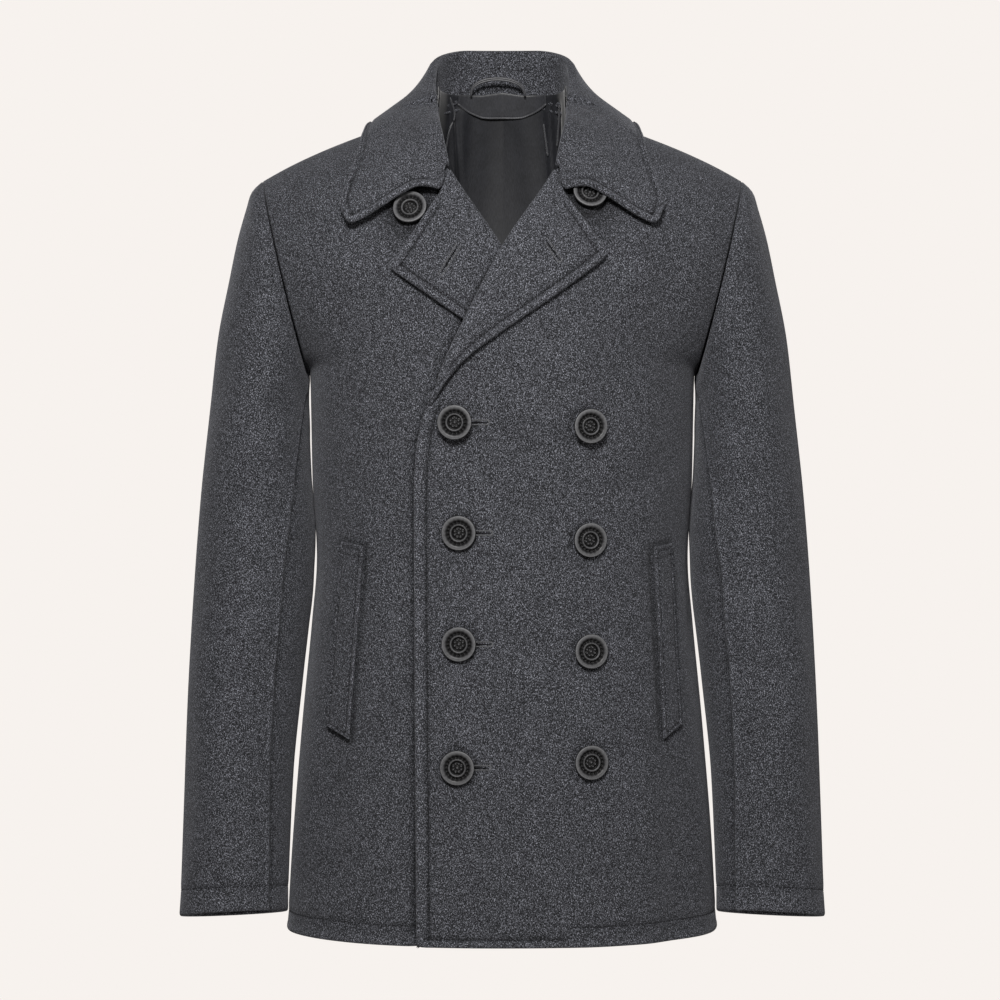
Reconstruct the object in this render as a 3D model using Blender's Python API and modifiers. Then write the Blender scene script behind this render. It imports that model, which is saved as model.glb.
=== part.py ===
"""A double-breasted pea coat, filled out as if worn, with nobody in it.

Metres, +Z up. The coat faces -Y and its wearer's left is +X. The origin lies in the middle of the
neck, at the height of the sides of the neck, where a wearer's shoulders carry the coat.

The body is one surface. Rows run across it from the hem up to the shoulder seam, and along a row
the cloth turns through an angle from the middle to the side seam or the armhole. The panels are
cut from that surface, and whatever lies on a panel is made from the same points, moved out.
"""

import math
from collections import namedtuple

import bmesh
import bpy
import numpy as np
from mathutils import Matrix, Vector

CLOTH = 0.0026            # melton wool
DOUBLE = 0.0042           # collar leaf and lapel: cloth and facing
SATIN = 0.0012            # lining
GAP = 0.0003              # between pieces at a seam
BOXY = 0.87               # 1 makes the body's cross-section an oval, less makes it squarer
STAND_GAP = 0.0030        # the stand's foot clears the folded edge that it is sewn to
ROUND = 0.15              # share of a straight row that is rounded off at its middle
LINING_LIFT = -0.0045     # the lining hangs this far inside the wool

# Armhole: an upright oval on the body's side. Its angle runs from the underarm (0) over the front
# or the back to the shoulder tip (180).
ARM_TOP_X, ARM_TOP_Z = 0.2135, -0.0740
ARM_LOW_X, ARM_LOW_Z = 0.1710, -0.2500
ARM_DEPTH = 0.0700

# Body rows. mid_z and mid_y place the middle of the row. A row below the underarm ends at the side
# seam, given by half, and one above it ends on the armhole at the angle given by arm. turn is the
# angle that the cloth turns through, and straight is 1 where the row is a straight line.
BodyRow = namedtuple("BodyRow", "mid_z mid_y half arm turn straight")
FRONT_ROWS = (
    BodyRow(-0.7420, -0.1360, 0.1908, None, 90, 0.0),
    BodyRow(-0.6600, -0.1370, 0.1862, None, 90, 0.0),
    BodyRow(-0.5600, -0.1370, 0.1782, None, 90, 0.0),
    BodyRow(-0.4700, -0.1355, 0.1698, None, 90, 0.0),
    BodyRow(-0.4100, -0.1350, 0.1655, None, 90, 0.0),
    BodyRow(-0.3400, -0.1365, 0.1690, None, 90, 0.0),
    BodyRow(-0.2900, -0.1375, 0.1700, None, 90, 0.0),
    BodyRow(-0.2500, -0.1375, None, 0, 90, 0.0),
    BodyRow(-0.2200, -0.1365, None, 35, 76, 0.0),
    BodyRow(-0.1830, -0.1335, None, 65, 64, 0.0),
    BodyRow(-0.1420, -0.1270, None, 95, 58, 0.0),
    BodyRow(-0.0980, -0.1130, None, 125, 54, 0.05),
    BodyRow(-0.0540, -0.0860, None, 148, 50, 0.2),
    BodyRow(-0.0150, -0.0410, None, 166, 47, 0.5),
    BodyRow(0.0080, 0.0260, None, 180, 45, 0.85),
)
BACK_ROWS = (
    BodyRow(-0.7420, 0.1240, 0.1908, None, 90, 0.0),
    BodyRow(-0.6600, 0.1200, 0.1862, None, 90, 0.0),
    BodyRow(-0.5600, 0.1140, 0.1782, None, 90, 0.0),
    BodyRow(-0.4700, 0.1070, 0.1698, None, 90, 0.0),
    BodyRow(-0.4100, 0.1050, 0.1655, None, 90, 0.0),
    BodyRow(-0.3400, 0.1080, 0.1690, None, 90, 0.0),
    BodyRow(-0.2900, 0.1130, 0.1700, None, 90, 0.0),
    BodyRow(-0.2500, 0.1170, None, 0, 90, 0.0),
    BodyRow(-0.2150, 0.1190, None, 35, 74, 0.0),
    BodyRow(-0.1700, 0.1195, None, 65, 62, 0.0),
    BodyRow(-0.1230, 0.1170, None, 95, 56, 0.0),
    BodyRow(-0.0780, 0.1110, None, 125, 52, 0.05),
    BodyRow(-0.0370, 0.1030, None, 148, 49, 0.2),
    BodyRow(0.0110, 0.0870, None, 160, 47, 0.9),
    BodyRow(0.0080, 0.0260, None, 180, 45, 0.85),
)

# Front edges, roll lines and necklines, from the hem up: the inner edge of each front panel. The
# left front laps over the right one.
EdgePoint = namedtuple("EdgePoint", "z x")
LEFT_EDGE = (
    EdgePoint(-0.7420, -0.0740),
    EdgePoint(-0.3600, -0.0742),
    EdgePoint(-0.3225, -0.0728),
    EdgePoint(-0.3000, -0.0690),
    EdgePoint(-0.2772, -0.0612),
    EdgePoint(-0.2695, -0.0564),
    EdgePoint(-0.2558, -0.0530),
    EdgePoint(-0.2319, -0.0436),
    EdgePoint(-0.2003, -0.0282),
    EdgePoint(-0.1456, 0.0000),
    EdgePoint(-0.0740, 0.0463),
    EdgePoint(-0.0500, 0.0580),
    EdgePoint(-0.0250, 0.0640),
    EdgePoint(0.0120, 0.0660),
)
RIGHT_EDGE = (
    EdgePoint(-0.7420, 0.1060),
    EdgePoint(-0.3500, 0.1060),
    EdgePoint(-0.3100, 0.1000),
    EdgePoint(-0.2695, 0.0564),
    EdgePoint(-0.2319, 0.0436),
    EdgePoint(-0.2003, 0.0282),
    EdgePoint(-0.1456, 0.0000),
    EdgePoint(-0.0740, -0.0463),
    EdgePoint(-0.0500, -0.0580),
    EdgePoint(-0.0250, -0.0640),
    EdgePoint(0.0120, -0.0660),
)

# Inner edge of the front linings, wearer's left. The facings of the fronts reach up to it.
LINING_EDGE = (
    EdgePoint(-0.7420, 0.1300),
    EdgePoint(-0.3100, 0.1260),
    EdgePoint(-0.2695, 0.1000),
    EdgePoint(-0.1456, 0.0720),
    EdgePoint(-0.0740, 0.0680),
    EdgePoint(0.0120, 0.0720),
)

# Lapels: the points of each one's outline, seen from the front, and how far its outer edge is
# hollowed near the break.
Lapel = namedtuple("Lapel", "break_ tip notch gorge hollow")
LEFT_LAPEL = Lapel(
    (-0.0642, -0.2860), (0.0914, -0.1500), (0.0537, -0.0953), (0.0463, -0.0740), 0.058)
RIGHT_LAPEL = Lapel(
    (0.0564, -0.2695), (-0.0978, -0.1610), (-0.0545, -0.0953), (-0.0463, -0.0740), 0.0)

# Collar, the half on the wearer's left: stations from the middle of the back to the front end.
# fold is its top edge, and mid and edge lie on the leaf. A point with None for its y or z lies
# over the body there, at the station's lift, or its fold_lift for a fold. neck says where the
# stand is sewn on: the share of the way along the back neckline from its middle, or the height z
# on the front's neckline.
Station = namedtuple("Station", "fold neck mid edge fold_lift lift")
COLLAR = (
    Station((0.0000, 0.0900, 0.0556), ("back", 0.00),
            (0.0000, 0.1120, 0.0220), (0.0000, None, -0.0320), 0, 0.010),
    Station((0.0300, 0.0860, 0.0551), ("back", 0.40),
            (0.0400, 0.1085, 0.0200), (0.0560, None, -0.0340), 0, 0.010),
    Station((0.0510, 0.0700, 0.0484), ("back", 0.72),
            (0.0720, 0.0840, 0.0120), (0.1010, None, -0.0380), 0, 0.009),
    Station((0.0602, 0.0420, 0.0360), ("back", 0.90),
            (0.0865, 0.0460, 0.0060), (0.1160, 0.0500, None), 0, 0.008),
    Station((0.0610, 0.0100, 0.0150), ("front", -0.012),
            (0.0890, 0.0120, 0.0000), (0.1192, 0.0140, None), 0, 0.0070),
    Station((0.0580, -0.0330, -0.0150), ("front", -0.034),
            (0.0900, None, -0.0340), (0.1232, None, -0.0580), 0, 0.0088),
    Station((0.0535, None, -0.0400), ("front", -0.051),
            (0.0900, None, -0.0570), (0.1305, None, -0.0850), 0.0100, 0.0095),
    Station((0.0500, None, -0.0570), ("front", -0.063),
            (0.0880, None, -0.0760), (0.1365, None, -0.1080), 0.0070, 0.0110),
    Station((0.0463, None, -0.0737), ("front", -0.074),
            (0.0870, None, -0.0905), (0.1335, None, -0.1185), 0.0050, 0.0110),
)

# Sleeve rings, wearer's left: where the arm's outer and inner sides pass, half the depth of the
# ring, its middle's y, and the angle of the front seam.
Ring = namedtuple("Ring", "out_x out_z in_x in_z depth mid_y front_seam")
SLEEVE = (
    Ring(0.2142, -0.0748, 0.1745, -0.2520, 0.0700, 0.0000, 166),
    Ring(0.2235, -0.0870, 0.1748, -0.2550, 0.0730, 0.0000, 166),
    Ring(0.2345, -0.1200, 0.1752, -0.2620, 0.0755, 0.0000, 165),
    Ring(0.2440, -0.1650, 0.1755, -0.2760, 0.0750, -0.0010, 160),
    Ring(0.2535, -0.2150, 0.1755, -0.3000, 0.0720, -0.0040, 152),
    Ring(0.2600, -0.2750, 0.1740, -0.3350, 0.0680, -0.0080, 142),
    Ring(0.2675, -0.3500, 0.1697, -0.3900, 0.0630, -0.0140, 130),
    Ring(0.2732, -0.4300, 0.1720, -0.4500, 0.0590, -0.0210, 125),
    Ring(0.2775, -0.5100, 0.1787, -0.5180, 0.0550, -0.0270, 126),
    Ring(0.2805, -0.6000, 0.1868, -0.6010, 0.0510, -0.0330, 130),
    Ring(0.2828, -0.6700, 0.1897, -0.6680, 0.0480, -0.0370, 134),
    Ring(0.2840, -0.7320, 0.1917, -0.7280, 0.0460, -0.0400, 136),
)
BACK_SEAM = 245
CUFF_RISE = 0.0080        # the cuff's front above its middle, and its back below it

# Overlap: how far the left front stands off the right one, and off the lapel under it.
OVERLAP_LIFT = 0.0036
LAPEL_LIFT = 0.0060
ON_CLOTH = CLOTH / 2 + 0.0009 + DOUBLE / 2

# Welts of the slanted pockets: the four corners, seen from the front.
Welt = namedtuple("Welt", "top_in top_out low_out low_in")
LEFT_WELT = Welt((0.1272, -0.4010), (0.1444, -0.3975), (0.1530, -0.5560), (0.1367, -0.5670))
RIGHT_WELT = Welt((-0.1177, -0.3995), (-0.1367, -0.3960), (-0.1495, -0.5570), (-0.1303, -0.5670))

# Buttons: the middle of each one, seen from the front. The left column is on the wearer's right.
BUTTON_RADIUS = 0.0148
BUTTON_THICK = 0.0042
BUTTONS = {
    "button_right_1": (-0.0390, -0.2940),
    "button_right_2": (-0.0379, -0.3880),
    "button_right_3": (-0.0379, -0.4830),
    "button_right_4": (-0.0393, -0.5880),
    "button_left_1": (0.0715, -0.2970),
    "button_left_2": (0.0728, -0.3940),
    "button_left_3": (0.0737, -0.4895),
    "button_left_4": (0.0741, -0.5840),
    "button_collar_right": (-0.0800, -0.1090),
    "button_collar_left": (0.0742, -0.0985),
}
BUTTON_TURNS = 16

BUTTON_FOOT = 0.0010      # left open between a button and the cloth, for its thread

# Hanger loop: an arch that leans in at the top, and whose ends follow the curve of the neck.
LOOP_WIDTH, LOOP_HEIGHT, LOOP_RADIUS = 0.0500, 0.0150, 0.0014
LOOP_MIDDLE_X = -0.0040
LOOP_FOOT_Y, LOOP_FOOT_Z = 0.0762, 0.0150
LOOP_LEAN = 0.0050
LOOP_CURVE = 2.2

# Linings: the shares of the turn they reach, and the rows left off at the top.
LINING_BACK_REACH, LINING_FRONT_REACH = 0.84, 0.96
LINING_BACK_TRIM, LINING_FRONT_TRIM = 0.72, 0.30
LINING_FRONT_COLUMNS = 7
LINING_START = 0.5

# Neck facing: its top and bottom heights, how far the bottom rises at its ends, how far along
# the collar's stations it reaches, and how far inside the stand it hangs.
FACING_TOP, FACING_LOW, FACING_RISE = 0.0115, -0.0065, 0.0145
FACING_REACH = 1.50
FACING_INSIDE = 0.0052

COLOURS = {
    "wool": (0.058, 0.060, 0.066, 0.90, 0.0),
    "facing_satin": (0.030, 0.031, 0.036, 0.45, 0.0),
    "lining_satin": (0.024, 0.025, 0.029, 0.40, 0.0),
    "button_plastic": (0.020, 0.020, 0.022, 0.30, 0.0),
}


def blend(knots, values, at):
    """A smooth curve through the values, which never swings past them."""
    knots = np.asarray(knots, float)
    values = np.asarray(values, float)
    at = np.clip(at, knots[0], knots[-1])
    step = np.diff(knots)
    rise = np.diff(values) / step
    slope = np.zeros(len(knots))
    slope[0], slope[-1] = rise[0], rise[-1]
    same = rise[1:] * rise[:-1] > 0
    near = 2 * step[1:] + step[:-1]
    far = step[1:] + 2 * step[:-1]
    before = np.where(same, rise[:-1], 1.0)
    after = np.where(same, rise[1:], 1.0)
    slope[1:-1] = np.where(same, (near + far) / (near / before + far / after), 0.0)
    i = np.clip(np.searchsorted(knots, at, side="right") - 1, 0, len(step) - 1)
    t = (at - knots[i]) / step[i]
    return (
        values[i] * (1 + 2 * t) * (1 - t) ** 2
        + values[i + 1] * t * t * (3 - 2 * t)
        + slope[i] * step[i] * t * (1 - t) ** 2
        - slope[i + 1] * step[i] * t * t * (1 - t)
    )


def ramp(value, start, end):
    """0 before start, 1 after end, and smooth between them."""
    t = np.clip((value - start) / (end - start), 0.0, 1.0)
    return t * t * (3 - 2 * t)


def armhole_point(angle, side):
    """A point of the armhole. side is -1 over the front and 1 over the back."""
    turned = math.radians(angle)
    up = (1 - math.cos(turned)) / 2
    return (
        ARM_LOW_X + (ARM_TOP_X - ARM_LOW_X) * up,
        side * ARM_DEPTH * math.sin(turned),
        ARM_LOW_Z + (ARM_TOP_Z - ARM_LOW_Z) * up,
    )


class Surface:
    """The front or the back half of the coat's body."""

    def __init__(self, rows, side, clear_top):
        ends = [
            (row.half, 0.0, row.mid_z) if row.arm is None else armhole_point(row.arm, side)
            for row in rows
        ]
        self.side = side
        self.top = len(rows) - 1.0
        self.clear_top = clear_top    # heights rise from row to row up to this one
        self.knots = np.arange(len(rows))
        self.columns = {
            "mid_y": [row.mid_y for row in rows],
            "mid_z": [row.mid_z for row in rows],
            "turn": [math.radians(row.turn) for row in rows],
            "straight": [row.straight for row in rows],
            "end_x": [end[0] for end in ends],
            "end_y": [end[1] for end in ends],
            "end_z": [end[2] for end in ends],
        }

    def column(self, name, row):
        return blend(self.knots, self.columns[name], row)

    def place(self, turned, row):
        """The point at a share of the turn (-1 to 1) along a row."""
        turn = self.column("turn", row)
        straight = self.column("straight", row)
        angle = turned * turn
        across = np.sign(angle) * np.abs(np.sin(angle) / np.sin(turn)) ** BOXY
        depth, full_depth = np.maximum(np.cos(angle), 0) ** BOXY, np.maximum(np.cos(turn), 0) ** BOXY
        away = (1 - depth) / (1 - full_depth)
        line = (np.hypot(across, ROUND) - ROUND) / (math.hypot(1, ROUND) - ROUND)
        away = away + straight * (line - away)
        mid_y, mid_z = self.column("mid_y", row), self.column("mid_z", row)
        x = self.column("end_x", row) * across
        y = mid_y + (self.column("end_y", row) - mid_y) * away
        z = mid_z + (self.column("end_z", row) - mid_z) * away
        return np.stack([x, y, z], axis=-1)

    def share(self, x, row):
        """The share of the turn that reaches x on a row."""
        turn = self.column("turn", row)
        across = np.clip(x / self.column("end_x", row), -1.0, 1.0)
        sine = np.sign(across) * np.abs(across) ** (1 / BOXY) * np.sin(turn)
        return np.arcsin(sine) / turn

    def normal(self, turned, row):
        """The outward normal, from points close by."""
        near = 0.004
        along = self.place(turned + near, row) - self.place(turned - near, row)
        low = np.clip(row - near, 0.0, self.top)
        high = np.clip(row + near, 0.0, self.top)
        up = self.place(turned, high) - self.place(turned, low)
        out = np.cross(along, up) * -self.side
        return out / np.linalg.norm(out, axis=-1, keepdims=True)

    def row_at(self, x, y=None, z=None):
        """The row that passes over x at a height z, or near the shoulder at a depth y."""
        if z is None:
            axis, wanted, low, high = 1, np.asarray(-y * self.side), 9.0, self.top
        else:
            axis, wanted, low, high = 2, np.asarray(z), 0.0, self.clear_top
        low = np.full(np.broadcast(x, wanted).shape, low)
        high = np.full(low.shape, high)
        for _ in range(30):
            half = (low + high) / 2
            reached = self.place(self.share(x, half), half)[..., axis]
            above = (reached if axis == 2 else -reached * self.side) > wanted
            high = np.where(above, half, high)
            low = np.where(above, low, half)
        return (low + high) / 2

    def over(self, x, y=None, z=None, lift=0.0):
        """The point over x and z, or over x and y, moved out along the normal by lift."""
        x = np.asarray(x, float)
        row = self.row_at(x, y, z)
        turned = self.share(x, row)
        return self.place(turned, row) + self.normal(turned, row) * np.asarray(lift)[..., None]


FRONT = Surface(FRONT_ROWS, -1, 14.0)
BACK = Surface(BACK_ROWS, 1, 13.0)


def overlap_lift(x, z):
    """How far the left front is lifted by the right front and its lapel."""
    over_front = OVERLAP_LIFT * ramp(-x, -0.150, -0.118)
    over_lapel = LAPEL_LIFT * ramp(z, -0.325, -0.275) * ramp(-x, -0.100, -0.060)
    return (over_front + over_lapel) * ramp(-z, 0.088, 0.135)


def edge_turn(edge, surface, row):
    """The share of the turn at which an edge crosses a row."""
    z = surface.column("mid_z", row)
    for _ in range(8):
        x = blend([point.z for point in edge], [point.x for point in edge], z)
        turned = surface.share(x, row)
        z = surface.place(turned, row)[..., 2]
    return turned


def levels(surface, steps, start=0.0):
    """Rows at which a panel has its cross lines: steps[i] of them in the table's interval i."""
    rows = [0.0]
    for index, count in enumerate(steps):
        rows += [index + (k + 1) / count for k in range(count)]
    return np.array([row for row in rows if start <= row <= surface.top])


def collect(name):
    found = bpy.data.collections.new(name)
    bpy.context.scene.collection.children.link(found)
    return found


def finish_material(name):
    red, green, blue, rough, metal = COLOURS[name]
    made = bpy.data.materials.get(name) or bpy.data.materials.new(name)
    made.use_nodes = True
    shader = made.node_tree.nodes["Principled BSDF"]
    shader.inputs["Base Color"].default_value = (red, green, blue, 1)
    shader.inputs["Roughness"].default_value = rough
    shader.inputs["Metallic"].default_value = metal
    return made


def sheet(name, points, material, thick):
    """A cloth wall: a loft through rows of points, given its thickness on both sides evenly."""
    rows, count = points.shape[:2]
    mesh = bpy.data.meshes.new(name)
    shape = bmesh.new()
    grid = [[shape.verts.new(tuple(point)) for point in row] for row in points]
    for i in range(rows - 1):
        for j in range(count - 1):
            shape.faces.new((grid[i][j], grid[i][j + 1], grid[i + 1][j + 1], grid[i + 1][j]))
    shape.to_mesh(mesh)
    shape.free()
    mesh.materials.append(finish_material(material))
    piece = bpy.data.objects.new(name, mesh)
    COAT.objects.link(piece)
    wall = piece.modifiers.new("wall", "SOLIDIFY")
    wall.thickness = thick
    wall.offset = 0
    wall.use_even_offset = True
    mesh.shade_smooth()
    return piece


def between(start, end, count):
    """Shares of the turn from start to end, row by row."""
    t = np.linspace(0, 1, count)
    return start[:, None] + (end - start)[:, None] * t


# Where the shoulder seam meets the neckline, as a share of the turn along the top row.
NECK_SHARE = 0.235
FRONT_STEPS = (1, 1, 2, 1, 1, 1, 2, 1, 1, 1, 2, 2, 2, 2)
BACK_STEPS = (1, 1, 2, 1, 1, 1, 1, 1, 1, 1, 1, 2, 3, 3)
NECK_ROW = 13             # the back row that passes the middle of the back neckline
TRIM = 0.012              # rows taken off a panel where another meets it at an angle
PANEL_REACH = 0.9985      # share of the turn that a panel reaches, just short of the side seam


def back_limit(turned):
    """The highest row of the back panel: its neckline in the middle, the shoulder seam beyond."""
    rise = np.minimum(np.abs(turned) / NECK_SHARE, 1.0) ** 5
    return NECK_ROW + (BACK.top - NECK_ROW) * rise


def back_shares(last):
    """Columns across the back, with one at each end of the neckline."""
    half = np.array([0.0, 0.133, NECK_SHARE, 0.41, 0.56, 0.71, 0.86, last])
    return np.concatenate([-half[:0:-1], half])


def back_grid(steps, shares, lift, start, margin, highest=14.0):
    """Points of a piece on the back, up to the neckline and the shoulder seams."""
    rows = levels(BACK, steps, start)
    row, turned = np.meshgrid(rows, shares, indexing="ij")
    fixed = 11.0
    limit = np.minimum(back_limit(turned), highest) - margin
    stretched = fixed + (row - fixed) * (limit - fixed) / (BACK.top - fixed)
    row = np.where(row > fixed, stretched, row)
    # Near the neckline a lining keeps the direction of the rows below.
    return BACK.place(turned, row) + BACK.normal(turned, np.minimum(row, NECK_ROW - 0.8)) * lift


def add_back():
    sheet("back", back_grid(BACK_STEPS, back_shares(PANEL_REACH), 0.0, 0.0, TRIM), "wool", CLOTH)


def front_points(edge, steps, count, lift, start=0.0, last=PANEL_REACH, margin=TRIM):
    """Points of a piece on the front, from an edge to the side seam on the same side."""
    rows = levels(FRONT, steps, start)
    rows[-1] -= margin
    side = 1.0 if edge[-1].x > 0 else -1.0
    inner = edge_turn(edge, FRONT, rows)
    outer = np.full(len(rows), side * last)
    turned = between(inner, outer, count)
    row = np.repeat(rows[:, None], count, axis=1)
    points = FRONT.place(turned, row)
    if callable(lift):
        lift = lift(points[..., 0], points[..., 2])
    shift = np.broadcast_to(lift, row.shape)[..., None]
    return points + FRONT.normal(turned, row) * shift


def add_fronts():
    sheet("front_left", front_points(LEFT_EDGE, FRONT_STEPS, 13, overlap_lift), "wool", CLOTH)
    sheet("front_right", front_points(RIGHT_EDGE, FRONT_STEPS, 13, 0.0), "wool", CLOTH)


def lapel_outline(lapel, edge, along, out):
    """The lapel seen from the front: out runs from the roll line to its outer edge."""
    low, high = lapel.break_[1], lapel.gorge[1]
    z = low + (high - low) * along
    x = blend([point.z for point in edge], [point.x for point in edge], z)
    tip_x = lapel.break_[0] + (lapel.tip[0] - lapel.break_[0]) * along
    tip_z = lapel.break_[1] + (lapel.tip[1] - lapel.break_[1]) * along
    tip_z = tip_z + lapel.hollow * np.sqrt(along) * (1 - along) ** 2
    # The top edge bends at the notch, where the collar's gorge seam ends.
    bend = 0.26
    share = np.clip(out / bend, 0, 1) - np.clip((out - bend) / (1 - bend), 0, 1)
    straight_x = lapel.gorge[0] + (lapel.tip[0] - lapel.gorge[0]) * bend
    straight_z = lapel.gorge[1] + (lapel.tip[1] - lapel.gorge[1]) * bend
    near_top = along ** 4 * share
    return (
        x + (tip_x - x) * out + (lapel.notch[0] - straight_x) * near_top,
        z + (tip_z - z) * out + (lapel.notch[1] - straight_z) * near_top,
    )


def add_lapels():
    for name, lapel, edge, lifted in (
        ("lapel_left", LEFT_LAPEL, LEFT_EDGE, True),
        ("lapel_right", RIGHT_LAPEL, RIGHT_EDGE, False),
    ):
        steps = np.linspace(0.06, 0.997, 12), np.linspace(0.0, 1.0, 7)
        along, out = np.meshgrid(*steps, indexing="ij")
        x, z = lapel_outline(lapel, edge, along, out)
        lift = ON_CLOTH + (overlap_lift(x, z) if lifted else 0.0)
        sheet(name, FRONT.over(x, z=z, lift=lift), "wool", DOUBLE)


def neck_point(neck):
    """Where the collar stand is sewn on: on the panel's outside, at its edge."""
    where, value = neck
    if where == "back":
        turned = np.array(value * NECK_SHARE)
        row = back_limit(turned)
        point, out = BACK.place(turned, row), BACK.normal(turned, row)
    else:
        x = blend([point.z for point in LEFT_EDGE], [point.x for point in LEFT_EDGE], value)
        row = FRONT.row_at(x, z=np.array(value))
        turned = FRONT.share(x, row)
        point, out = FRONT.place(turned, row), FRONT.normal(turned, row)
    return point + out * (CLOTH / 2 + STAND_GAP) + np.array([0, 0, GAP])


def collar_point(point, neck, lift):
    """A station's point, brought over the body where its y or z is left open."""
    x, y, z = point
    if z is None:
        return BACK.over(x, y=y, lift=lift)
    if y is None:
        return (BACK if neck[0] == "back" else FRONT).over(x, z=z, lift=lift)
    return np.array(point, float)


def mirrored(points):
    """Rows for the wearer's left half, joined with their mirror image at the middle row."""
    other = points[:0:-1] * np.array([-1.0, 1.0, 1.0])
    return np.concatenate([other, points])


def collar_curves(at):
    """The collar's fold, neck, mid and edge curves at positions along the stations."""
    knots = np.arange(len(COLLAR))
    curves = {
        "fold": [collar_point(station.fold, station.neck, station.fold_lift) for station in COLLAR],
        "neck": [neck_point(station.neck) for station in COLLAR],
        "mid": [collar_point(station.mid, station.neck, station.lift) for station in COLLAR],
        "edge": [collar_point(station.edge, station.neck, station.lift) for station in COLLAR],
    }
    return {
        name: np.stack([blend(knots, [point[axis] for point in points], at) for axis in range(3)], axis=-1)
        for name, points in curves.items()
    }


def add_collar():
    at = np.linspace(0, len(COLLAR) - 1, 17)
    curves = collar_curves(at)
    fold, neck, mid, edge = (curves[name] for name in ("fold", "neck", "mid", "edge"))
    stand = at <= 7.0
    up = np.linspace(0, 1, 4)[None, :, None]
    wall = neck[stand][:, None] + (fold - neck)[stand][:, None] * up * 0.985
    sheet("collar_stand", mirrored(wall), "wool", CLOTH)
    # The leaf leaves the fold outwards and comes down in one bend over the shoulders.
    run = np.gradient(fold, axis=0)
    outward = np.cross(run, fold - neck)
    outward *= np.sign(np.sum(outward * (mid - fold), axis=1))[:, None]
    outward /= np.linalg.norm(outward, axis=1, keepdims=True)
    outward[at > 7.0] = outward[at == 7.0]
    clear = (CLOTH / 2 + 3 * GAP + DOUBLE / 2) * (1 - ramp(at, 7.0, 8.0))
    start = fold + outward * clear[:, None]
    t = np.linspace(0, 1, 7)[None, :, None]
    control = 2 * mid - (start + edge) / 2
    leaf = start[:, None] * (1 - t) ** 2 + control[:, None] * 2 * t * (1 - t) + edge[:, None] * t ** 2
    sheet("collar_fall", mirrored(leaf), "wool", DOUBLE)


def sleeve_points(along, angle, side):
    """Points of a sleeve at ring positions along it and angles round it (outer side 0, front 90)."""
    knots = np.arange(len(SLEEVE))
    column = {name: blend(knots, [getattr(ring, name) for ring in SLEEVE], along) for name in Ring._fields}
    mid_x, mid_z = (column["out_x"] + column["in_x"]) / 2, (column["out_z"] + column["in_z"]) / 2
    turned = np.radians(angle)
    rise = CUFF_RISE * ramp(along, 8.0, 11.0)
    x = mid_x + (column["out_x"] - mid_x) * np.cos(turned)
    y = column["mid_y"] - column["depth"] * np.sin(turned)
    z = mid_z + (column["out_z"] - mid_z) * np.cos(turned) + rise * np.sin(turned)
    return np.stack([x * side, y, z], axis=-1)


def add_sleeves():
    knots = np.arange(len(SLEEVE))
    along = np.array([0, 0.5, 1, 1.5, 2, 3, 4, 5, 6, 7, 8, 9, 10, 11])
    seam = blend(knots, [ring.front_seam for ring in SLEEVE], along)
    slack = 0.55          # degrees left open at each seam
    for name, side in (("sleeve_left", 1), ("sleeve_right", -1)):
        for part, start, end, count in (
            ("upper", BACK_SEAM - 360 + slack + 0 * seam, seam - slack, 13),
            ("under", seam + slack, BACK_SEAM - slack + 0 * seam, 7),
        ):
            angle = between(start, end, count)
            rows = np.repeat(along[:, None], count, axis=1)
            sheet(f"{name}_{part}", sleeve_points(rows, angle, side), "wool", CLOTH)


def add_welts():
    for name, welt, lifted in (("welt_left", LEFT_WELT, True), ("welt_right", RIGHT_WELT, False)):
        along, out = np.meshgrid(np.linspace(0, 1, 9), np.linspace(0, 1, 4), indexing="ij")
        corners = [np.array(corner) for corner in welt]
        top = corners[0] + (corners[1] - corners[0]) * out[..., None]
        low = corners[3] + (corners[2] - corners[3]) * out[..., None]
        flat = top + (low - top) * along[..., None]
        lift = CLOTH + 0.0005 + (overlap_lift(flat[..., 0], flat[..., 1]) if lifted else 0.0)
        sheet(name, FRONT.over(flat[..., 0], z=flat[..., 1], lift=lift), "wool", CLOTH)


def add_buttons():
    """Turned buttons with a raised rim and a sunk middle, sewn close to the cloth."""
    profile = (
        (0.0, 0.0022),
        (0.0072, 0.0022),
        (0.0080, 0.0032),
        (0.0112, 0.0034),
        (0.0136, BUTTON_THICK),
        (BUTTON_RADIUS, 0.0028),
        (0.0142, 0.0006),
        (0.0120, 0.0),
        (0.0, 0.0),
    )
    mesh = bpy.data.meshes.new("button")
    points = [(r, 0.0, z) for r, z in profile]
    mesh.from_pydata(points, [(i, i + 1) for i in range(len(points) - 1)], [])
    mesh.materials.append(finish_material("button_plastic"))
    rim = np.radians(np.arange(0, 360, 30))
    for name, (x, z) in BUTTONS.items():
        rim_x, rim_z = x + BUTTON_RADIUS * np.cos(rim), z + BUTTON_RADIUS * np.sin(rim)
        under = 0.0 if name == "button_collar_right" else overlap_lift(rim_x, rim_z).max()
        foot = FRONT.over(x, z=z, lift=under + CLOTH / 2 + BUTTON_FOOT)
        out = Vector(FRONT.over(x, z=z, lift=1.0) - FRONT.over(x, z=z))
        piece = bpy.data.objects.new(name, mesh)
        COAT.objects.link(piece)
        piece.matrix_world = Matrix.Translation(foot) @ out.to_track_quat("Z", "Y").to_matrix().to_4x4()
        turn = piece.modifiers.new("turn", "SCREW")
        turn.steps = turn.render_steps = BUTTON_TURNS
        turn.use_merge_vertices = True
        turn.merge_threshold = 0.00001
        turn.use_smooth_shade = True


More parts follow.
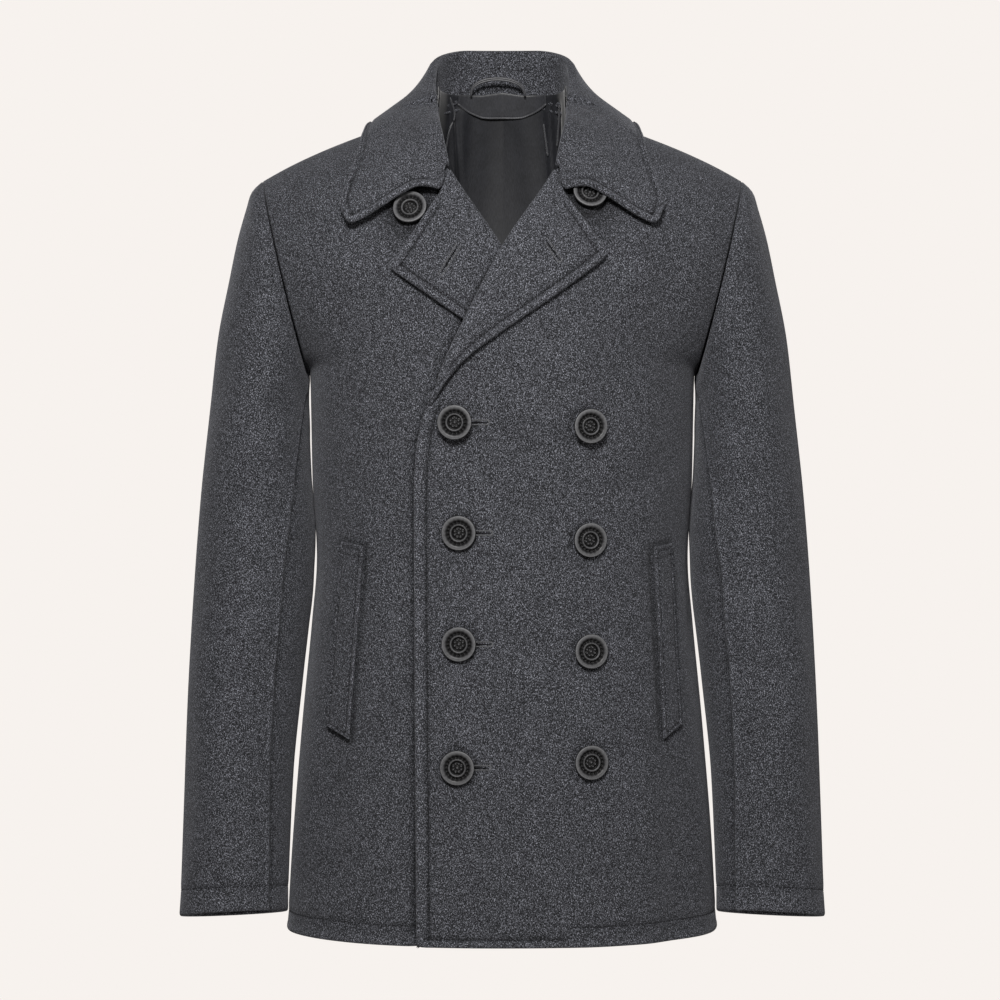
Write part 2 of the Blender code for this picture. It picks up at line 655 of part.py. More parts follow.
def add_loop():
    """The hanger loop: piping that stands in an arch inside the back neck."""
    line = bpy.data.curves.new("hanger_loop", "CURVE")
    line.dimensions = "3D"
    line.bevel_depth = LOOP_RADIUS
    line.bevel_resolution = 2
    line.use_fill_caps = True
    spline = line.splines.new("POLY")
    count = 15
    spline.points.add(count - 1)
    for i in range(count):
        turned = math.pi * i / (count - 1)
        x = LOOP_MIDDLE_X - LOOP_WIDTH / 2 * math.cos(turned)
        height = math.sin(turned) ** 0.8
        y = LOOP_FOOT_Y - LOOP_LEAN * height - LOOP_CURVE * x * x
        spline.points[i].co = (x, y, LOOP_FOOT_Z + LOOP_HEIGHT * height, 1)
    line.materials.append(finish_material("facing_satin"))
    COAT.objects.link(bpy.data.objects.new("hanger_loop", line))


def add_linings():
    shares = back_shares(PANEL_REACH) * LINING_BACK_REACH
    points = back_grid(BACK_STEPS, shares, LINING_LIFT, LINING_START, LINING_BACK_TRIM, NECK_ROW)
    sheet("lining_back", points, "lining_satin", SATIN)
    for name, side in (("lining_left", 1), ("lining_right", -1)):
        edge = [EdgePoint(point.z, point.x * side) for point in LINING_EDGE]
        lift = (lambda x, z: overlap_lift(x, z) + LINING_LIFT) if side > 0 else LINING_LIFT
        points = front_points(
            edge, FRONT_STEPS, LINING_FRONT_COLUMNS, lift, LINING_START, LINING_FRONT_REACH,
            LINING_FRONT_TRIM)
        sheet(name, points, "lining_satin", SATIN)


def add_neck_facing():
    """The satin yoke piece inside the back neck, from the stand down to a shallow curve."""
    curves = collar_curves(np.linspace(0, FACING_REACH, 7))
    neck, fold = curves["neck"], curves["fold"]
    share = (FACING_TOP - neck[:, 2]) / (fold[:, 2] - neck[:, 2])
    wall = neck + (fold - neck) * share[:, None]
    inward = np.array([0.0, 0.02, FACING_TOP]) - wall
    inward /= np.linalg.norm(inward, axis=1, keepdims=True)
    top = wall + inward * FACING_INSIDE
    out = (top[:, 0] / top[-1, 0]) ** 2
    drop = FACING_LOW + FACING_RISE * out - FACING_TOP
    bottom = top + np.stack([0 * out, 0.0040 * (1 - out), drop], axis=-1)
    down = np.linspace(0, 1, 4)[None, :, None]
    sheet("neck_facing", mirrored(top[:, None] + (bottom - top)[:, None] * down), "facing_satin", SATIN)


COAT = None


def main():
    global COAT
    for old in list(bpy.data.objects):
        bpy.data.objects.remove(old)
    COAT = collect("pea_coat")
    add_back()
    add_fronts()
    add_lapels()
    add_collar()
    add_sleeves()
    add_welts()
    add_buttons()
    add_loop()
    add_linings()
    add_neck_facing()


main()
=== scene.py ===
"""The looks of a double-breasted pea coat: wool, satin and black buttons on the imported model.

Every cloth piece is a fine wall on the same form as its CAD solid. The body is one surface: rows
run across it from the hem up to the shoulder seam, and along a row the cloth turns through an
angle from the middle to the side seam or the armhole.
"""

import math
from collections import namedtuple

import bpy
import numpy as np
from mathutils import Matrix, Vector


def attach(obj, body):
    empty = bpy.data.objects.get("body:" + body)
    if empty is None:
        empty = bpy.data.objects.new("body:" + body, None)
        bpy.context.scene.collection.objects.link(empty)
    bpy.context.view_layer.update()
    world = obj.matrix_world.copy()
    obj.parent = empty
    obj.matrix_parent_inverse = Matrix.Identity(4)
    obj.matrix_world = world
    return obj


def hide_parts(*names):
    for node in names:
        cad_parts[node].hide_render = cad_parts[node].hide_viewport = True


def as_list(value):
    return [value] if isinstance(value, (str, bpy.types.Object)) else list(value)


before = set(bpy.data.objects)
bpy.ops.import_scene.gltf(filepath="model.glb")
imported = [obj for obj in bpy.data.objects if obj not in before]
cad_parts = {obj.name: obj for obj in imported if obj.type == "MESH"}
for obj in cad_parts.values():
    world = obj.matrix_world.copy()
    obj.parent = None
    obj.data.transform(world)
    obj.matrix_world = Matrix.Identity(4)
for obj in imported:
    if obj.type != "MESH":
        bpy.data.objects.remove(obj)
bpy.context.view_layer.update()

# ---------------------------------------------------------------- camera, light and floor

EYE = Vector((-0.002, -2.6, -0.36))
LENS = 104.0
FLOOR_Z = -1.450          # where the wearer would stand
PAPER = (0.930, 0.888, 0.855)
STUDIO_DIM = 0.12         # brightness of the studio's other sides, beside the paper's


def add_camera():
    lens = bpy.data.cameras.new("camera")
    lens.lens = LENS
    lens.sensor_width = 36.0
    camera = bpy.data.objects.new("camera", lens)
    camera.location = EYE
    camera.rotation_euler = (math.radians(90), 0, 0)
    bpy.context.scene.collection.objects.link(camera)
    bpy.context.scene.camera = camera


def add_light(name, place, target, width, height, power):
    lamp = bpy.data.lights.new(name, "AREA")
    lamp.shape = "RECTANGLE"
    lamp.size, lamp.size_y = width, height
    lamp.energy = power
    lamp.color = (1.0, 0.985, 0.965)
    light = bpy.data.objects.new(name, lamp)
    light.location = place
    light.rotation_euler = (Vector(target) - Vector(place)).to_track_quat("-Z", "Y").to_euler()
    bpy.context.scene.collection.objects.link(light)


def add_studio():
    scene = bpy.context.scene
    scene.view_settings.view_transform = "Standard"
    world = bpy.data.worlds.new("studio")
    world.use_nodes = True
    tree = world.node_tree
    sky = tree.nodes["Background"]
    sky.inputs["Color"].default_value = (*PAPER, 1)
    # The paper behind the coat is bright, and the rest of the studio is dimmer.
    way = tree.nodes.new("ShaderNodeTexCoord")
    split = tree.nodes.new("ShaderNodeSeparateXYZ")
    behind = tree.nodes.new("ShaderNodeMapRange")
    behind.interpolation_type = "SMOOTHSTEP"
    spread = {"From Min": 0.900, "From Max": 0.966, "To Min": STUDIO_DIM, "To Max": 1.0}
    for socket, value in spread.items():
        behind.inputs[socket].default_value = value
    tree.links.new(way.outputs["Generated"], split.inputs["Vector"])
    tree.links.new(split.outputs["Y"], behind.inputs["Value"])
    tree.links.new(behind.outputs["Result"], sky.inputs["Strength"])
    scene.world = world
    add_light("key", (-0.12, -1.80, 0.62), (0, 0, -0.26), 0.5, 0.4, 40)
    add_light("fill", (1.9, -2.3, 0.3), (0, 0, -0.40), 1.4, 1.4, 10)
    mesh = bpy.data.meshes.new("floor")
    turns = np.linspace(0, 2 * math.pi, 96, endpoint=False)
    rim = [(2.2 * math.cos(turn), 2.2 * math.sin(turn), FLOOR_Z) for turn in turns]
    mesh.from_pydata(rim, [], [list(range(len(rim)))])
    floor = bpy.data.objects.new("floor", mesh)
    scene.collection.objects.link(floor)
    made = bpy.data.materials.new("floor")
    made.use_nodes = True
    shader = made.node_tree.nodes["Principled BSDF"]
    shader.inputs["Base Color"].default_value = (0.82, 0.80, 0.78, 1)
    shader.inputs["Roughness"].default_value = 0.9
    mesh.materials.append(made)


# ---------------------------------------------------------------- sizes

# As in the CAD model, but for the three lower buttons of the right column, the right collar button,
# the left front's edge at the hem, and the cuffs, which are up to 4 mm from their places there.

CLOTH = 0.0026            # melton wool
DOUBLE = 0.0042           # collar leaf and lapel: cloth and facing
SATIN = 0.0012            # lining
GAP = 0.0003              # between pieces at a seam
BOXY = 0.87               # 1 makes the body's cross-section an oval, less makes it squarer
STAND_GAP = 0.0030        # the stand's foot clears the folded edge that it is sewn to
ROUND = 0.15              # share of a straight row that is rounded off at its middle
LINING_LIFT = -0.0045     # the lining hangs this far inside the wool
TRIM = 0.012              # rows taken off a panel where another meets it at an angle
NECK_SHARE = 0.235        # where the shoulder seam meets the neckline, as a share of the turn
NECK_ROW = 13             # the back row that passes the middle of the back neckline

# Armhole: an upright oval on the body's side. Its angle runs from the underarm (0) over the front
# or the back to the shoulder tip (180).
ARM_TOP_X, ARM_TOP_Z = 0.2135, -0.0740
ARM_LOW_X, ARM_LOW_Z = 0.1710, -0.2500
ARM_DEPTH = 0.0700

# Body rows. mid_z and mid_y place the middle of the row. A row below the underarm ends at the side
# seam, given by half, and one above it ends on the armhole at the angle given by arm. turn is the
# angle that the cloth turns through, and straight is 1 where the row is a straight line.
BodyRow = namedtuple("BodyRow", "mid_z mid_y half arm turn straight")
FRONT_ROWS = tuple(BodyRow(*row) for row in (
    (-0.7420, -0.1360, 0.1908, None, 90, 0.0),
    (-0.6600, -0.1370, 0.1862, None, 90, 0.0),
    (-0.5600, -0.1370, 0.1782, None, 90, 0.0),
    (-0.4700, -0.1355, 0.1698, None, 90, 0.0),
    (-0.4100, -0.1350, 0.1655, None, 90, 0.0),
    (-0.3400, -0.1365, 0.1690, None, 90, 0.0),
    (-0.2900, -0.1375, 0.1700, None, 90, 0.0),
    (-0.2500, -0.1375, None, 0, 90, 0.0),
    (-0.2200, -0.1365, None, 35, 76, 0.0),
    (-0.1830, -0.1335, None, 65, 64, 0.0),
    (-0.1420, -0.1270, None, 95, 58, 0.0),
    (-0.0980, -0.1130, None, 125, 54, 0.05),
    (-0.0540, -0.0860, None, 148, 50, 0.2),
    (-0.0150, -0.0410, None, 166, 47, 0.5),
    (0.0080, 0.0260, None, 180, 45, 0.85),
))
BACK_ROWS = tuple(BodyRow(*row) for row in (
    (-0.7420, 0.1240, 0.1908, None, 90, 0.0),
    (-0.6600, 0.1200, 0.1862, None, 90, 0.0),
    (-0.5600, 0.1140, 0.1782, None, 90, 0.0),
    (-0.4700, 0.1070, 0.1698, None, 90, 0.0),
    (-0.4100, 0.1050, 0.1655, None, 90, 0.0),
    (-0.3400, 0.1080, 0.1690, None, 90, 0.0),
    (-0.2900, 0.1130, 0.1700, None, 90, 0.0),
    (-0.2500, 0.1170, None, 0, 90, 0.0),
    (-0.2150, 0.1190, None, 35, 74, 0.0),
    (-0.1700, 0.1195, None, 65, 62, 0.0),
    (-0.1230, 0.1170, None, 95, 56, 0.0),
    (-0.0780, 0.1110, None, 125, 52, 0.05),
    (-0.0370, 0.1030, None, 148, 49, 0.2),
    (0.0110, 0.0870, None, 160, 47, 0.9),
    (0.0080, 0.0260, None, 180, 45, 0.85),
))

# Front edges, roll lines and necklines, from the hem up: the inner edge of each front panel. The
# left front laps over the right one.
EdgePoint = namedtuple("EdgePoint", "z x")
LEFT_EDGE = tuple(EdgePoint(*row) for row in (
    (-0.7420, -0.0724),
    (-0.3600, -0.0742),
    (-0.3225, -0.0728),
    (-0.3000, -0.0690),
    (-0.2772, -0.0612),
    (-0.2695, -0.0564),
    (-0.2558, -0.0530),
    (-0.2319, -0.0436),
    (-0.2003, -0.0282),
    (-0.1456, 0.0000),
    (-0.0740, 0.0463),
    (-0.0500, 0.0580),
    (-0.0250, 0.0640),
    (0.0120, 0.0660),
))
RIGHT_EDGE = tuple(EdgePoint(*row) for row in (
    (-0.7420, 0.1060),
    (-0.3500, 0.1060),
    (-0.3100, 0.1000),
    (-0.2695, 0.0564),
    (-0.2319, 0.0436),
    (-0.2003, 0.0282),
    (-0.1456, 0.0000),
    (-0.0740, -0.0463),
    (-0.0500, -0.0580),
    (-0.0250, -0.0640),
    (0.0120, -0.0660),
))

# Inner edge of the front linings, wearer's left.
LINING_EDGE = tuple(EdgePoint(*row) for row in (
    (-0.7420, 0.1300),
    (-0.3100, 0.1260),
    (-0.2695, 0.1000),
    (-0.1456, 0.0720),
    (-0.0740, 0.0680),
    (0.0120, 0.0720),
))

# Lapels: the points of each one's outline, seen from the front, and how far its outer edge is
# hollowed near the break.
Lapel = namedtuple("Lapel", "break_ tip notch gorge hollow")
LEFT_LAPEL = Lapel((-0.0642, -0.2860), (0.0914, -0.1500), (0.0537, -0.0953), (0.0463, -0.0740), 0.058)
RIGHT_LAPEL = Lapel((0.0564, -0.2695), (-0.0978, -0.1610), (-0.0545, -0.0953), (-0.0463, -0.0740), 0.0)

# Collar, the half on the wearer's left: stations from the middle of the back to the front end.
# fold is its top edge, and mid and edge lie on the leaf. A point with None for its y or z lies
# over the body there, at the station's lift, or its fold_lift for a fold. neck says where the
# stand is sewn on: the share of the way along the back neckline from its middle, or the height z
# on the front's neckline.
Station = namedtuple("Station", "fold neck mid edge fold_lift lift")
COLLAR = (
    Station((0.0000, 0.0900, 0.0556), ("back", 0.00),
            (0.0000, 0.1120, 0.0220), (0.0000, None, -0.0320), 0, 0.010),
    Station((0.0300, 0.0860, 0.0551), ("back", 0.40),
            (0.0400, 0.1085, 0.0200), (0.0560, None, -0.0340), 0, 0.010),
    Station((0.0510, 0.0700, 0.0484), ("back", 0.72),
            (0.0720, 0.0840, 0.0120), (0.1010, None, -0.0380), 0, 0.009),
    Station((0.0602, 0.0420, 0.0360), ("back", 0.90),
            (0.0865, 0.0460, 0.0060), (0.1160, 0.0500, None), 0, 0.008),
    Station((0.0610, 0.0100, 0.0150), ("front", -0.012),
            (0.0890, 0.0120, 0.0000), (0.1192, 0.0140, None), 0, 0.0070),
    Station((0.0580, -0.0330, -0.0150), ("front", -0.034),
            (0.0900, None, -0.0340), (0.1232, None, -0.0580), 0, 0.0088),
    Station((0.0535, None, -0.0400), ("front", -0.051),
            (0.0900, None, -0.0570), (0.1305, None, -0.0850), 0.0100, 0.0095),
    Station((0.0500, None, -0.0570), ("front", -0.063),
            (0.0880, None, -0.0760), (0.1365, None, -0.1080), 0.0070, 0.0110),
    Station((0.0463, None, -0.0737), ("front", -0.074),
            (0.0870, None, -0.0905), (0.1335, None, -0.1185), 0.0050, 0.0110),
)
# The collar's front border, from the roll line past the notch to the tip, seen from the front.
BorderPoint = namedtuple("BorderPoint", "share x z")
COLLAR_BORDER = tuple(BorderPoint(*row) for row in (
    (0.00, 0.0463, -0.0737),
    (0.16, 0.0540, -0.0930),
    (0.22, 0.0600, -0.0912),
    (0.34, 0.0710, -0.0904),
    (0.50, 0.0860, -0.0966),
    (0.68, 0.1020, -0.1066),
    (0.84, 0.1175, -0.1166),
    (1.00, 0.1330, -0.1236),
))

# Sleeve rings, wearer's left: where the arm's outer and inner sides pass, half the depth of the
# ring, its middle's y, and the angle of the front seam.
Ring = namedtuple("Ring", "out_x out_z in_x in_z depth mid_y front_seam")
SLEEVE = tuple(Ring(*row) for row in (
    (0.2142, -0.0748, 0.1745, -0.2520, 0.0700, 0.0000, 166),
    (0.2235, -0.0870, 0.1748, -0.2550, 0.0730, 0.0000, 166),
    (0.2345, -0.1200, 0.1752, -0.2620, 0.0755, 0.0000, 165),
    (0.2440, -0.1650, 0.1755, -0.2760, 0.0750, -0.0010, 160),
    (0.2535, -0.2150, 0.1755, -0.3000, 0.0720, -0.0040, 152),
    (0.2600, -0.2750, 0.1740, -0.3350, 0.0680, -0.0080, 142),
    (0.2675, -0.3500, 0.1697, -0.3900, 0.0630, -0.0140, 130),
    (0.2732, -0.4300, 0.1720, -0.4500, 0.0590, -0.0210, 125),
    (0.2775, -0.5100, 0.1787, -0.5180, 0.0550, -0.0270, 126),
    (0.2805, -0.6000, 0.1868, -0.6010, 0.0510, -0.0330, 130),
    (0.2828, -0.6700, 0.1897, -0.6680, 0.0480, -0.0370, 134),
    (0.2840, -0.7288, 0.1917, -0.7240, 0.0460, -0.0400, 136),
))
BACK_SEAM = 245
CUFF_RISE = 0.0080        # the cuff's front above its middle, and its back below it

# Overlap: how far the left front stands off the right one, and off the lapel under it.
OVERLAP_LIFT = 0.0036
LAPEL_LIFT = 0.0060
ON_CLOTH = CLOTH / 2 + 0.0009 + DOUBLE / 2

# Welts of the slanted pockets: the four corners, seen from the front.
Welt = namedtuple("Welt", "top_in top_out low_out low_in")
LEFT_WELT = Welt((0.1272, -0.4010), (0.1444, -0.3975), (0.1530, -0.5560), (0.1367, -0.5670))
RIGHT_WELT = Welt((-0.1177, -0.3995), (-0.1367, -0.3960), (-0.1495, -0.5570), (-0.1303, -0.5670))

# Buttons: the middle of each one, seen from the front. The left column is on the wearer's right.
BUTTON_RADIUS = 0.0148
BUTTONS = {
    "button_right_1": (-0.0390, -0.2940),
    "button_right_2": (-0.0363, -0.3880),
    "button_right_3": (-0.0363, -0.4830),
    "button_right_4": (-0.0377, -0.5880),
    "button_left_1": (0.0715, -0.2970),
    "button_left_2": (0.0728, -0.3940),
    "button_left_3": (0.0737, -0.4895),
    "button_left_4": (0.0741, -0.5840),
    "button_collar_right": (-0.0788, -0.1098),
    "button_collar_left": (0.0742, -0.0985),
}

LOOP_WIDTH, LOOP_HEIGHT = 0.0500, 0.0150
LOOP_MIDDLE_X = -0.0040

# ---------------------------------------------------------------- the form


def blend(knots, values, at):
    """A smooth curve through the values, which never swings past them."""
    knots = np.asarray(knots, float)
    values = np.asarray(values, float)
    at = np.clip(at, knots[0], knots[-1])
    step = np.diff(knots)
    rise = np.diff(values) / step
    slope = np.zeros(len(knots))
    slope[0], slope[-1] = rise[0], rise[-1]
    same = rise[1:] * rise[:-1] > 0
    near = 2 * step[1:] + step[:-1]
    far = step[1:] + 2 * step[:-1]
    before = np.where(same, rise[:-1], 1.0)
    after = np.where(same, rise[1:], 1.0)
    slope[1:-1] = np.where(same, (near + far) / (near / before + far / after), 0.0)
    i = np.clip(np.searchsorted(knots, at, side="right") - 1, 0, len(step) - 1)
    t = (at - knots[i]) / step[i]
    return (
        values[i] * (1 + 2 * t) * (1 - t) ** 2
        + values[i + 1] * t * t * (3 - 2 * t)
        + slope[i] * step[i] * t * (1 - t) ** 2
        - slope[i + 1] * step[i] * t * t * (1 - t)
    )


def ramp(value, start, end):
    """0 before start, 1 after end, and smooth between them."""
    t = np.clip((value - start) / (end - start), 0.0, 1.0)
    return t * t * (3 - 2 * t)


def hump(value, width):
    """1 at 0, falling softly to nothing about two widths away."""
    return np.exp(-((value / width) ** 2))


def unit(vectors):
    return vectors / np.maximum(np.linalg.norm(vectors, axis=-1, keepdims=True), 1e-12)


def armhole_point(angle, side):
    """A point of the armhole. side is -1 over the front and 1 over the back."""
    turned = math.radians(angle)
    up = (1 - math.cos(turned)) / 2
    return (
        ARM_LOW_X + (ARM_TOP_X - ARM_LOW_X) * up,
        side * ARM_DEPTH * math.sin(turned),
        ARM_LOW_Z + (ARM_TOP_Z - ARM_LOW_Z) * up,
    )


class Surface:
    """The front or the back half of the coat's body."""

    def __init__(self, rows, side, clear_top):
        ends = [
            (row.half, 0.0, row.mid_z) if row.arm is None else armhole_point(row.arm, side)
            for row in rows
        ]
        self.side = side
        self.top = len(rows) - 1.0
        self.clear_top = clear_top    # heights rise from row to row up to this one
        self.knots = np.arange(len(rows))
        self.columns = {
            "mid_y": [row.mid_y for row in rows],
            "mid_z": [row.mid_z for row in rows],
            "turn": [math.radians(row.turn) for row in rows],
            "straight": [row.straight for row in rows],
            "end_x": [end[0] for end in ends],
            "end_y": [end[1] for end in ends],
            "end_z": [end[2] for end in ends],
        }

    def column(self, name, row):
        return blend(self.knots, self.columns[name], row)

    def place(self, turned, row):
        """The point at a share of the turn (-1 to 1) along a row."""
        turn = self.column("turn", row)
        straight = self.column("straight", row)
        angle = turned * turn
        across = np.sign(angle) * np.abs(np.sin(angle) / np.sin(turn)) ** BOXY
        depth, full_depth = np.maximum(np.cos(angle), 0) ** BOXY, np.maximum(np.cos(turn), 0) ** BOXY
        away = (1 - depth) / (1 - full_depth)
        line = (np.hypot(across, ROUND) - ROUND) / (math.hypot(1, ROUND) - ROUND)
        away = away + straight * (line - away)
        mid_y, mid_z = self.column("mid_y", row), self.column("mid_z", row)
        x = self.column("end_x", row) * across
        y = mid_y + (self.column("end_y", row) - mid_y) * away
        z = mid_z + (self.column("end_z", row) - mid_z) * away
        return np.stack([x, y, z], axis=-1)

    def share(self, x, row):
        """The share of the turn that reaches x on a row."""
        turn = self.column("turn", row)
        across = np.clip(x / self.column("end_x", row), -1.0, 1.0)
        sine = np.sign(across) * np.abs(across) ** (1 / BOXY) * np.sin(turn)
        return np.arcsin(sine) / turn

    def normal(self, turned, row):
        """The outward normal, from points close by."""
        near = 0.004
        along = self.place(turned + near, row) - self.place(turned - near, row)
        low = np.clip(row - near, 0.0, self.top)
        high = np.clip(row + near, 0.0, self.top)
        up = self.place(turned, high) - self.place(turned, low)
        return unit(np.cross(along, up) * -self.side)

    def row_at(self, x, y=None, z=None):
        """The row that passes over x at a height z, or near the shoulder at a depth y."""
        if z is None:
            axis, wanted, low, high = 1, np.asarray(-y * self.side), 9.0, self.top
        else:
            axis, wanted, low, high = 2, np.asarray(z), 0.0, self.clear_top
        low = np.full(np.broadcast(x, wanted).shape, low)
        high = np.full(low.shape, high)
        for _ in range(24):
            half = (low + high) / 2
            reached = self.place(self.share(x, half), half)[..., axis]
            above = (reached if axis == 2 else -reached * self.side) > wanted
            high = np.where(above, half, high)
            low = np.where(above, low, half)
        return (low + high) / 2

    def over(self, x, y=None, z=None, lift=0.0):
        """The point over x and z, or over x and y, moved out along the normal by lift."""
        x = np.asarray(x, float)
        row = self.row_at(x, y, z)
        turned = self.share(x, row)
        return self.place(turned, row) + self.normal(turned, row) * np.asarray(lift)[..., None]


def seen(surface, x, z, lift):
    """A point at a distance over the surface which from the front is seen at x and z."""
    foot_x, foot_z = np.asarray(x, float), np.asarray(z, float)
    for _ in range(3):
        point = surface.over(foot_x, z=foot_z, lift=lift)
        foot_x = foot_x + (x - point[..., 0])
        foot_z = foot_z + (z - point[..., 2])
    return surface.over(foot_x, z=foot_z, lift=lift)


FRONT = Surface(FRONT_ROWS, -1, 14.0)
BACK = Surface(BACK_ROWS, 1, 13.0)


def overlap_lift(x, z):
    """How far the left front is lifted by the right front and its lapel."""
    over_front = OVERLAP_LIFT * ramp(-x, -0.150, -0.118)
    over_lapel = LAPEL_LIFT * ramp(z, -0.325, -0.275) * ramp(-x, -0.100, -0.060)
    return (over_front + over_lapel) * ramp(-z, 0.088, 0.135)


def edge_x(edge, z):
    return blend([point.z for point in edge], [point.x for point in edge], z)


def edge_turn(edge, surface, row):
    """The share of the turn at which an edge crosses a row."""
    z = surface.column("mid_z", row)
    for _ in range(8):
        turned = surface.share(edge_x(edge, z), row)
        z = surface.place(turned, row)[..., 2]
    return turned


# ---------------------------------------------------------------- walls of cloth

FORWARD, BACKWARD = (0, -1, 0), (0, 1, 0)

EDGE = (0.0, 0.00025, 0.0007, 0.0014, 0.0024, 0.0040)    # lines close to an edge, to round it
FEW = EDGE[:3]            # enough lines for the edge of thin satin
SPACING = 0.0041          # of the lines across a panel
LINING_SPACING = 0.0065


def stitched(offset):
    """Distances from an edge that also follow a stitch groove at an offset."""
    beside = (-0.0024, -0.0014, -0.0007, 0.0, 0.0007, 0.0014, 0.0024)
    return EDGE + tuple(offset + step for step in beside if offset + step > EDGE[-1] + 0.0005)


def hemmed(offset, lines=EDGE):
    """Lines near an edge, and five more that follow the stitch row of its hem."""
    return lines + tuple(offset + step for step in (-0.0016, -0.0008, 0, 0.0008, 0.0016))


def nearest(lines, offset):
    """The number of the line that is nearest to an offset."""
    return lines.index(min(lines, key=lambda value: abs(value - offset)))


def quads_of(index):
    """The four-sided faces of a grid of numbered points."""
    corners = [index[:-1, :-1], index[:-1, 1:], index[1:, 1:], index[1:, :-1]]
    return np.stack(corners, axis=-1).reshape(-1, 4)


def running(points, axis):
    """Distance along a grid's lines from their start."""
    steps = np.linalg.norm(np.diff(points, axis=axis), axis=-1)
    start = np.zeros_like(np.take(steps, [0], axis=axis))
    return np.concatenate([start, np.cumsum(steps, axis=axis)], axis=axis)


def spaced(lengths, spacing, start, end):
    """Distances along lines of these lengths: set ones at each end, and even ones between."""
    lengths = np.asarray(lengths, float)[:, None]
    low = np.repeat(np.array(start, float)[None], len(lengths), axis=0)
    high = lengths - np.array(end[::-1], float)[None]
    count = int(math.ceil(lengths.max() / spacing))
    t = np.linspace(0, 1, count + 1)[1:-1][None]
    middle = low[:, -1:] * (1 - t) + high[:, :1] * t
    return np.concatenate([low, middle, high], axis=1)


class Patch:
    """A grid on a form. place(v, u) gives points for v up the rows and u across them, both 0 to 1."""

    def __init__(self, place, across, up, spacing=SPACING, probe=0.5):
        v = np.linspace(0, 1, 161)
        line = place(v[:, None], np.full((161, 1), probe))
        run = running(line, 0)[:, 0]
        self.v = np.interp(spaced([run[-1]], spacing, *up)[0], run, v)
        u = np.linspace(0, 1, 121)
        rows = np.repeat(self.v[:, None], len(u), axis=1)
        run = running(place(rows, np.repeat(u[None], len(self.v), axis=0)), 1)
        wanted = spaced(run[:, -1], spacing, *across)
        self.u = np.stack([np.interp(want, have, u) for want, have in zip(wanted, run)])
        self.v = np.repeat(self.v[:, None], self.u.shape[1], axis=1)
        self.points = place(self.v, self.u)
        self.measure()

    def measure(self):
        self.left = running(self.points, 1)
        self.right = self.left[:, -1:] - self.left
        self.low = running(self.points, 0)
        self.high = self.low[-1:] - self.low

    def normals(self, facing):
        """Normals of the grid, turned so that the middle one faces a direction."""
        along = np.gradient(self.points, axis=1)
        up = np.gradient(self.points, axis=0)
        out = unit(np.cross(along, up))
        middle = out[out.shape[0] // 2, out.shape[1] // 2]
        return out if np.dot(middle, facing) > 0 else -out

    def shift(self, amount, facing):
        """Move the cloth out along its normals."""
        self.points = self.points + self.normals(facing) * np.asarray(amount)[..., None]
        self.measure()

    def wall(self, name, material, thick, facing, dent=0.0, backing=0.0, soft=0.8):
        """The closed wall of cloth, with rounded edges; dent goes into its outer face only, and is also
        kept as an attribute by which the wool paints shade into the dents and a highlight onto raised
        ridges.
        """
        rows, count = self.points.shape[:2]
        self.normal = self.normals(facing)
        near = np.minimum(np.minimum(self.left, self.right), np.minimum(self.low, self.high))
        half = np.broadcast_to(thick, near.shape) / 2
        bulge = np.sqrt(1 - (1 - np.clip(near / (half * 2 * soft), 0, 1)) ** 2)
        hollow = np.broadcast_to(dent, near.shape)
        behind = np.broadcast_to(backing, near.shape)
        self.outer = self.points + self.normal * ((half * bulge) - hollow)[..., None]
        inner = self.points - self.normal * ((half + behind) * bulge)[..., None]
        index = np.arange(rows * count).reshape(rows, count)
        inside = index.copy()
        inside[1:-1, 1:-1] = rows * count + np.arange((rows - 2) * (count - 2)).reshape(rows - 2, -1)
        points = np.concatenate([self.outer.reshape(-1, 3), inner[1:-1, 1:-1].reshape(-1, 3)])
        quads = [quads_of(index), quads_of(inside)]
        turned = np.dot(np.cross(
            points[quads[0][0, 1]] - points[quads[0][0, 0]],
            points[quads[0][0, 2]] - points[quads[0][0, 0]],
        ), self.normal[0, 0]) < 0
        quads[0 if turned else 1] = quads[0 if turned else 1][:, ::-1]
        self.piece = solid(name + "_cloth", points, np.concatenate(quads), material)
        # The dent, kept for the wool's painted shade (darker where dented) and painted highlight (paler
        # where raised).
        dent_shade = np.zeros(len(points))
        dent_shade[:rows * count] = hollow.ravel()
        self.piece.data.attributes.new("dent_shade", "FLOAT", "POINT").data.foreach_set("value", dent_shade)
        return self.piece

    def line(self, column=None, row=None, keep=None):
        """Points and normals of the outer face along a column or a row of the grid."""
        points = self.outer[:, column] if row is None else self.outer[row]
        normals = self.normal[:, column] if row is None else self.normal[row]
        if keep is None:
            return points, normals
        return points[keep], normals[keep]


def solid(name, points, faces, material, smooth=True):
    mesh = bpy.data.meshes.new(name)
    mesh.from_pydata(points.tolist(), [], faces.tolist())
    mesh.materials.append(material)
    if smooth:
        mesh.shade_smooth()
    piece = bpy.data.objects.new(name, mesh)
    bpy.context.scene.collection.objects.link(piece)
    return piece


def dress(piece, nodes=()):
    """Ties a piece to the coat's one body and hides the CAD nodes that it stands for."""
    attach(piece, "root")
    if nodes:
        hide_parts(*nodes)


# A stitch groove as a dent, which the wool also paints darker as shade.
def groove(distance, depth=0.0011, width=0.0016):
    return depth * hump(distance, width)


def rolled(distance, height=0.0007):
    """The soft ridge that runs along a turned edge, between it and its stitches; as a raised dent it is
    also painted paler, a painted highlight.
    """
    return height * hump(distance - 0.0032, 0.0030)


def outside(corners, x, z):
    """Distance outside a four-sided outline, seen from the front; negative inside it."""
    far = np.full(np.shape(x), -9.0)
    middle_x, middle_z = (sum(corner[k] for corner in corners) / 4 for k in (0, 1))
    for (x0, z0), (x1, z1) in zip(corners, corners[1:] + corners[:1]):
        length = math.hypot(x1 - x0, z1 - z0)
        across, up = (z1 - z0) / length, -(x1 - x0) / length
        flip = -1.0 if (middle_x - x0) * across + (middle_z - z0) * up > 0 else 1.0
        far = np.maximum(far, flip * ((x - x0) * across + (z - z0) * up))
    return far


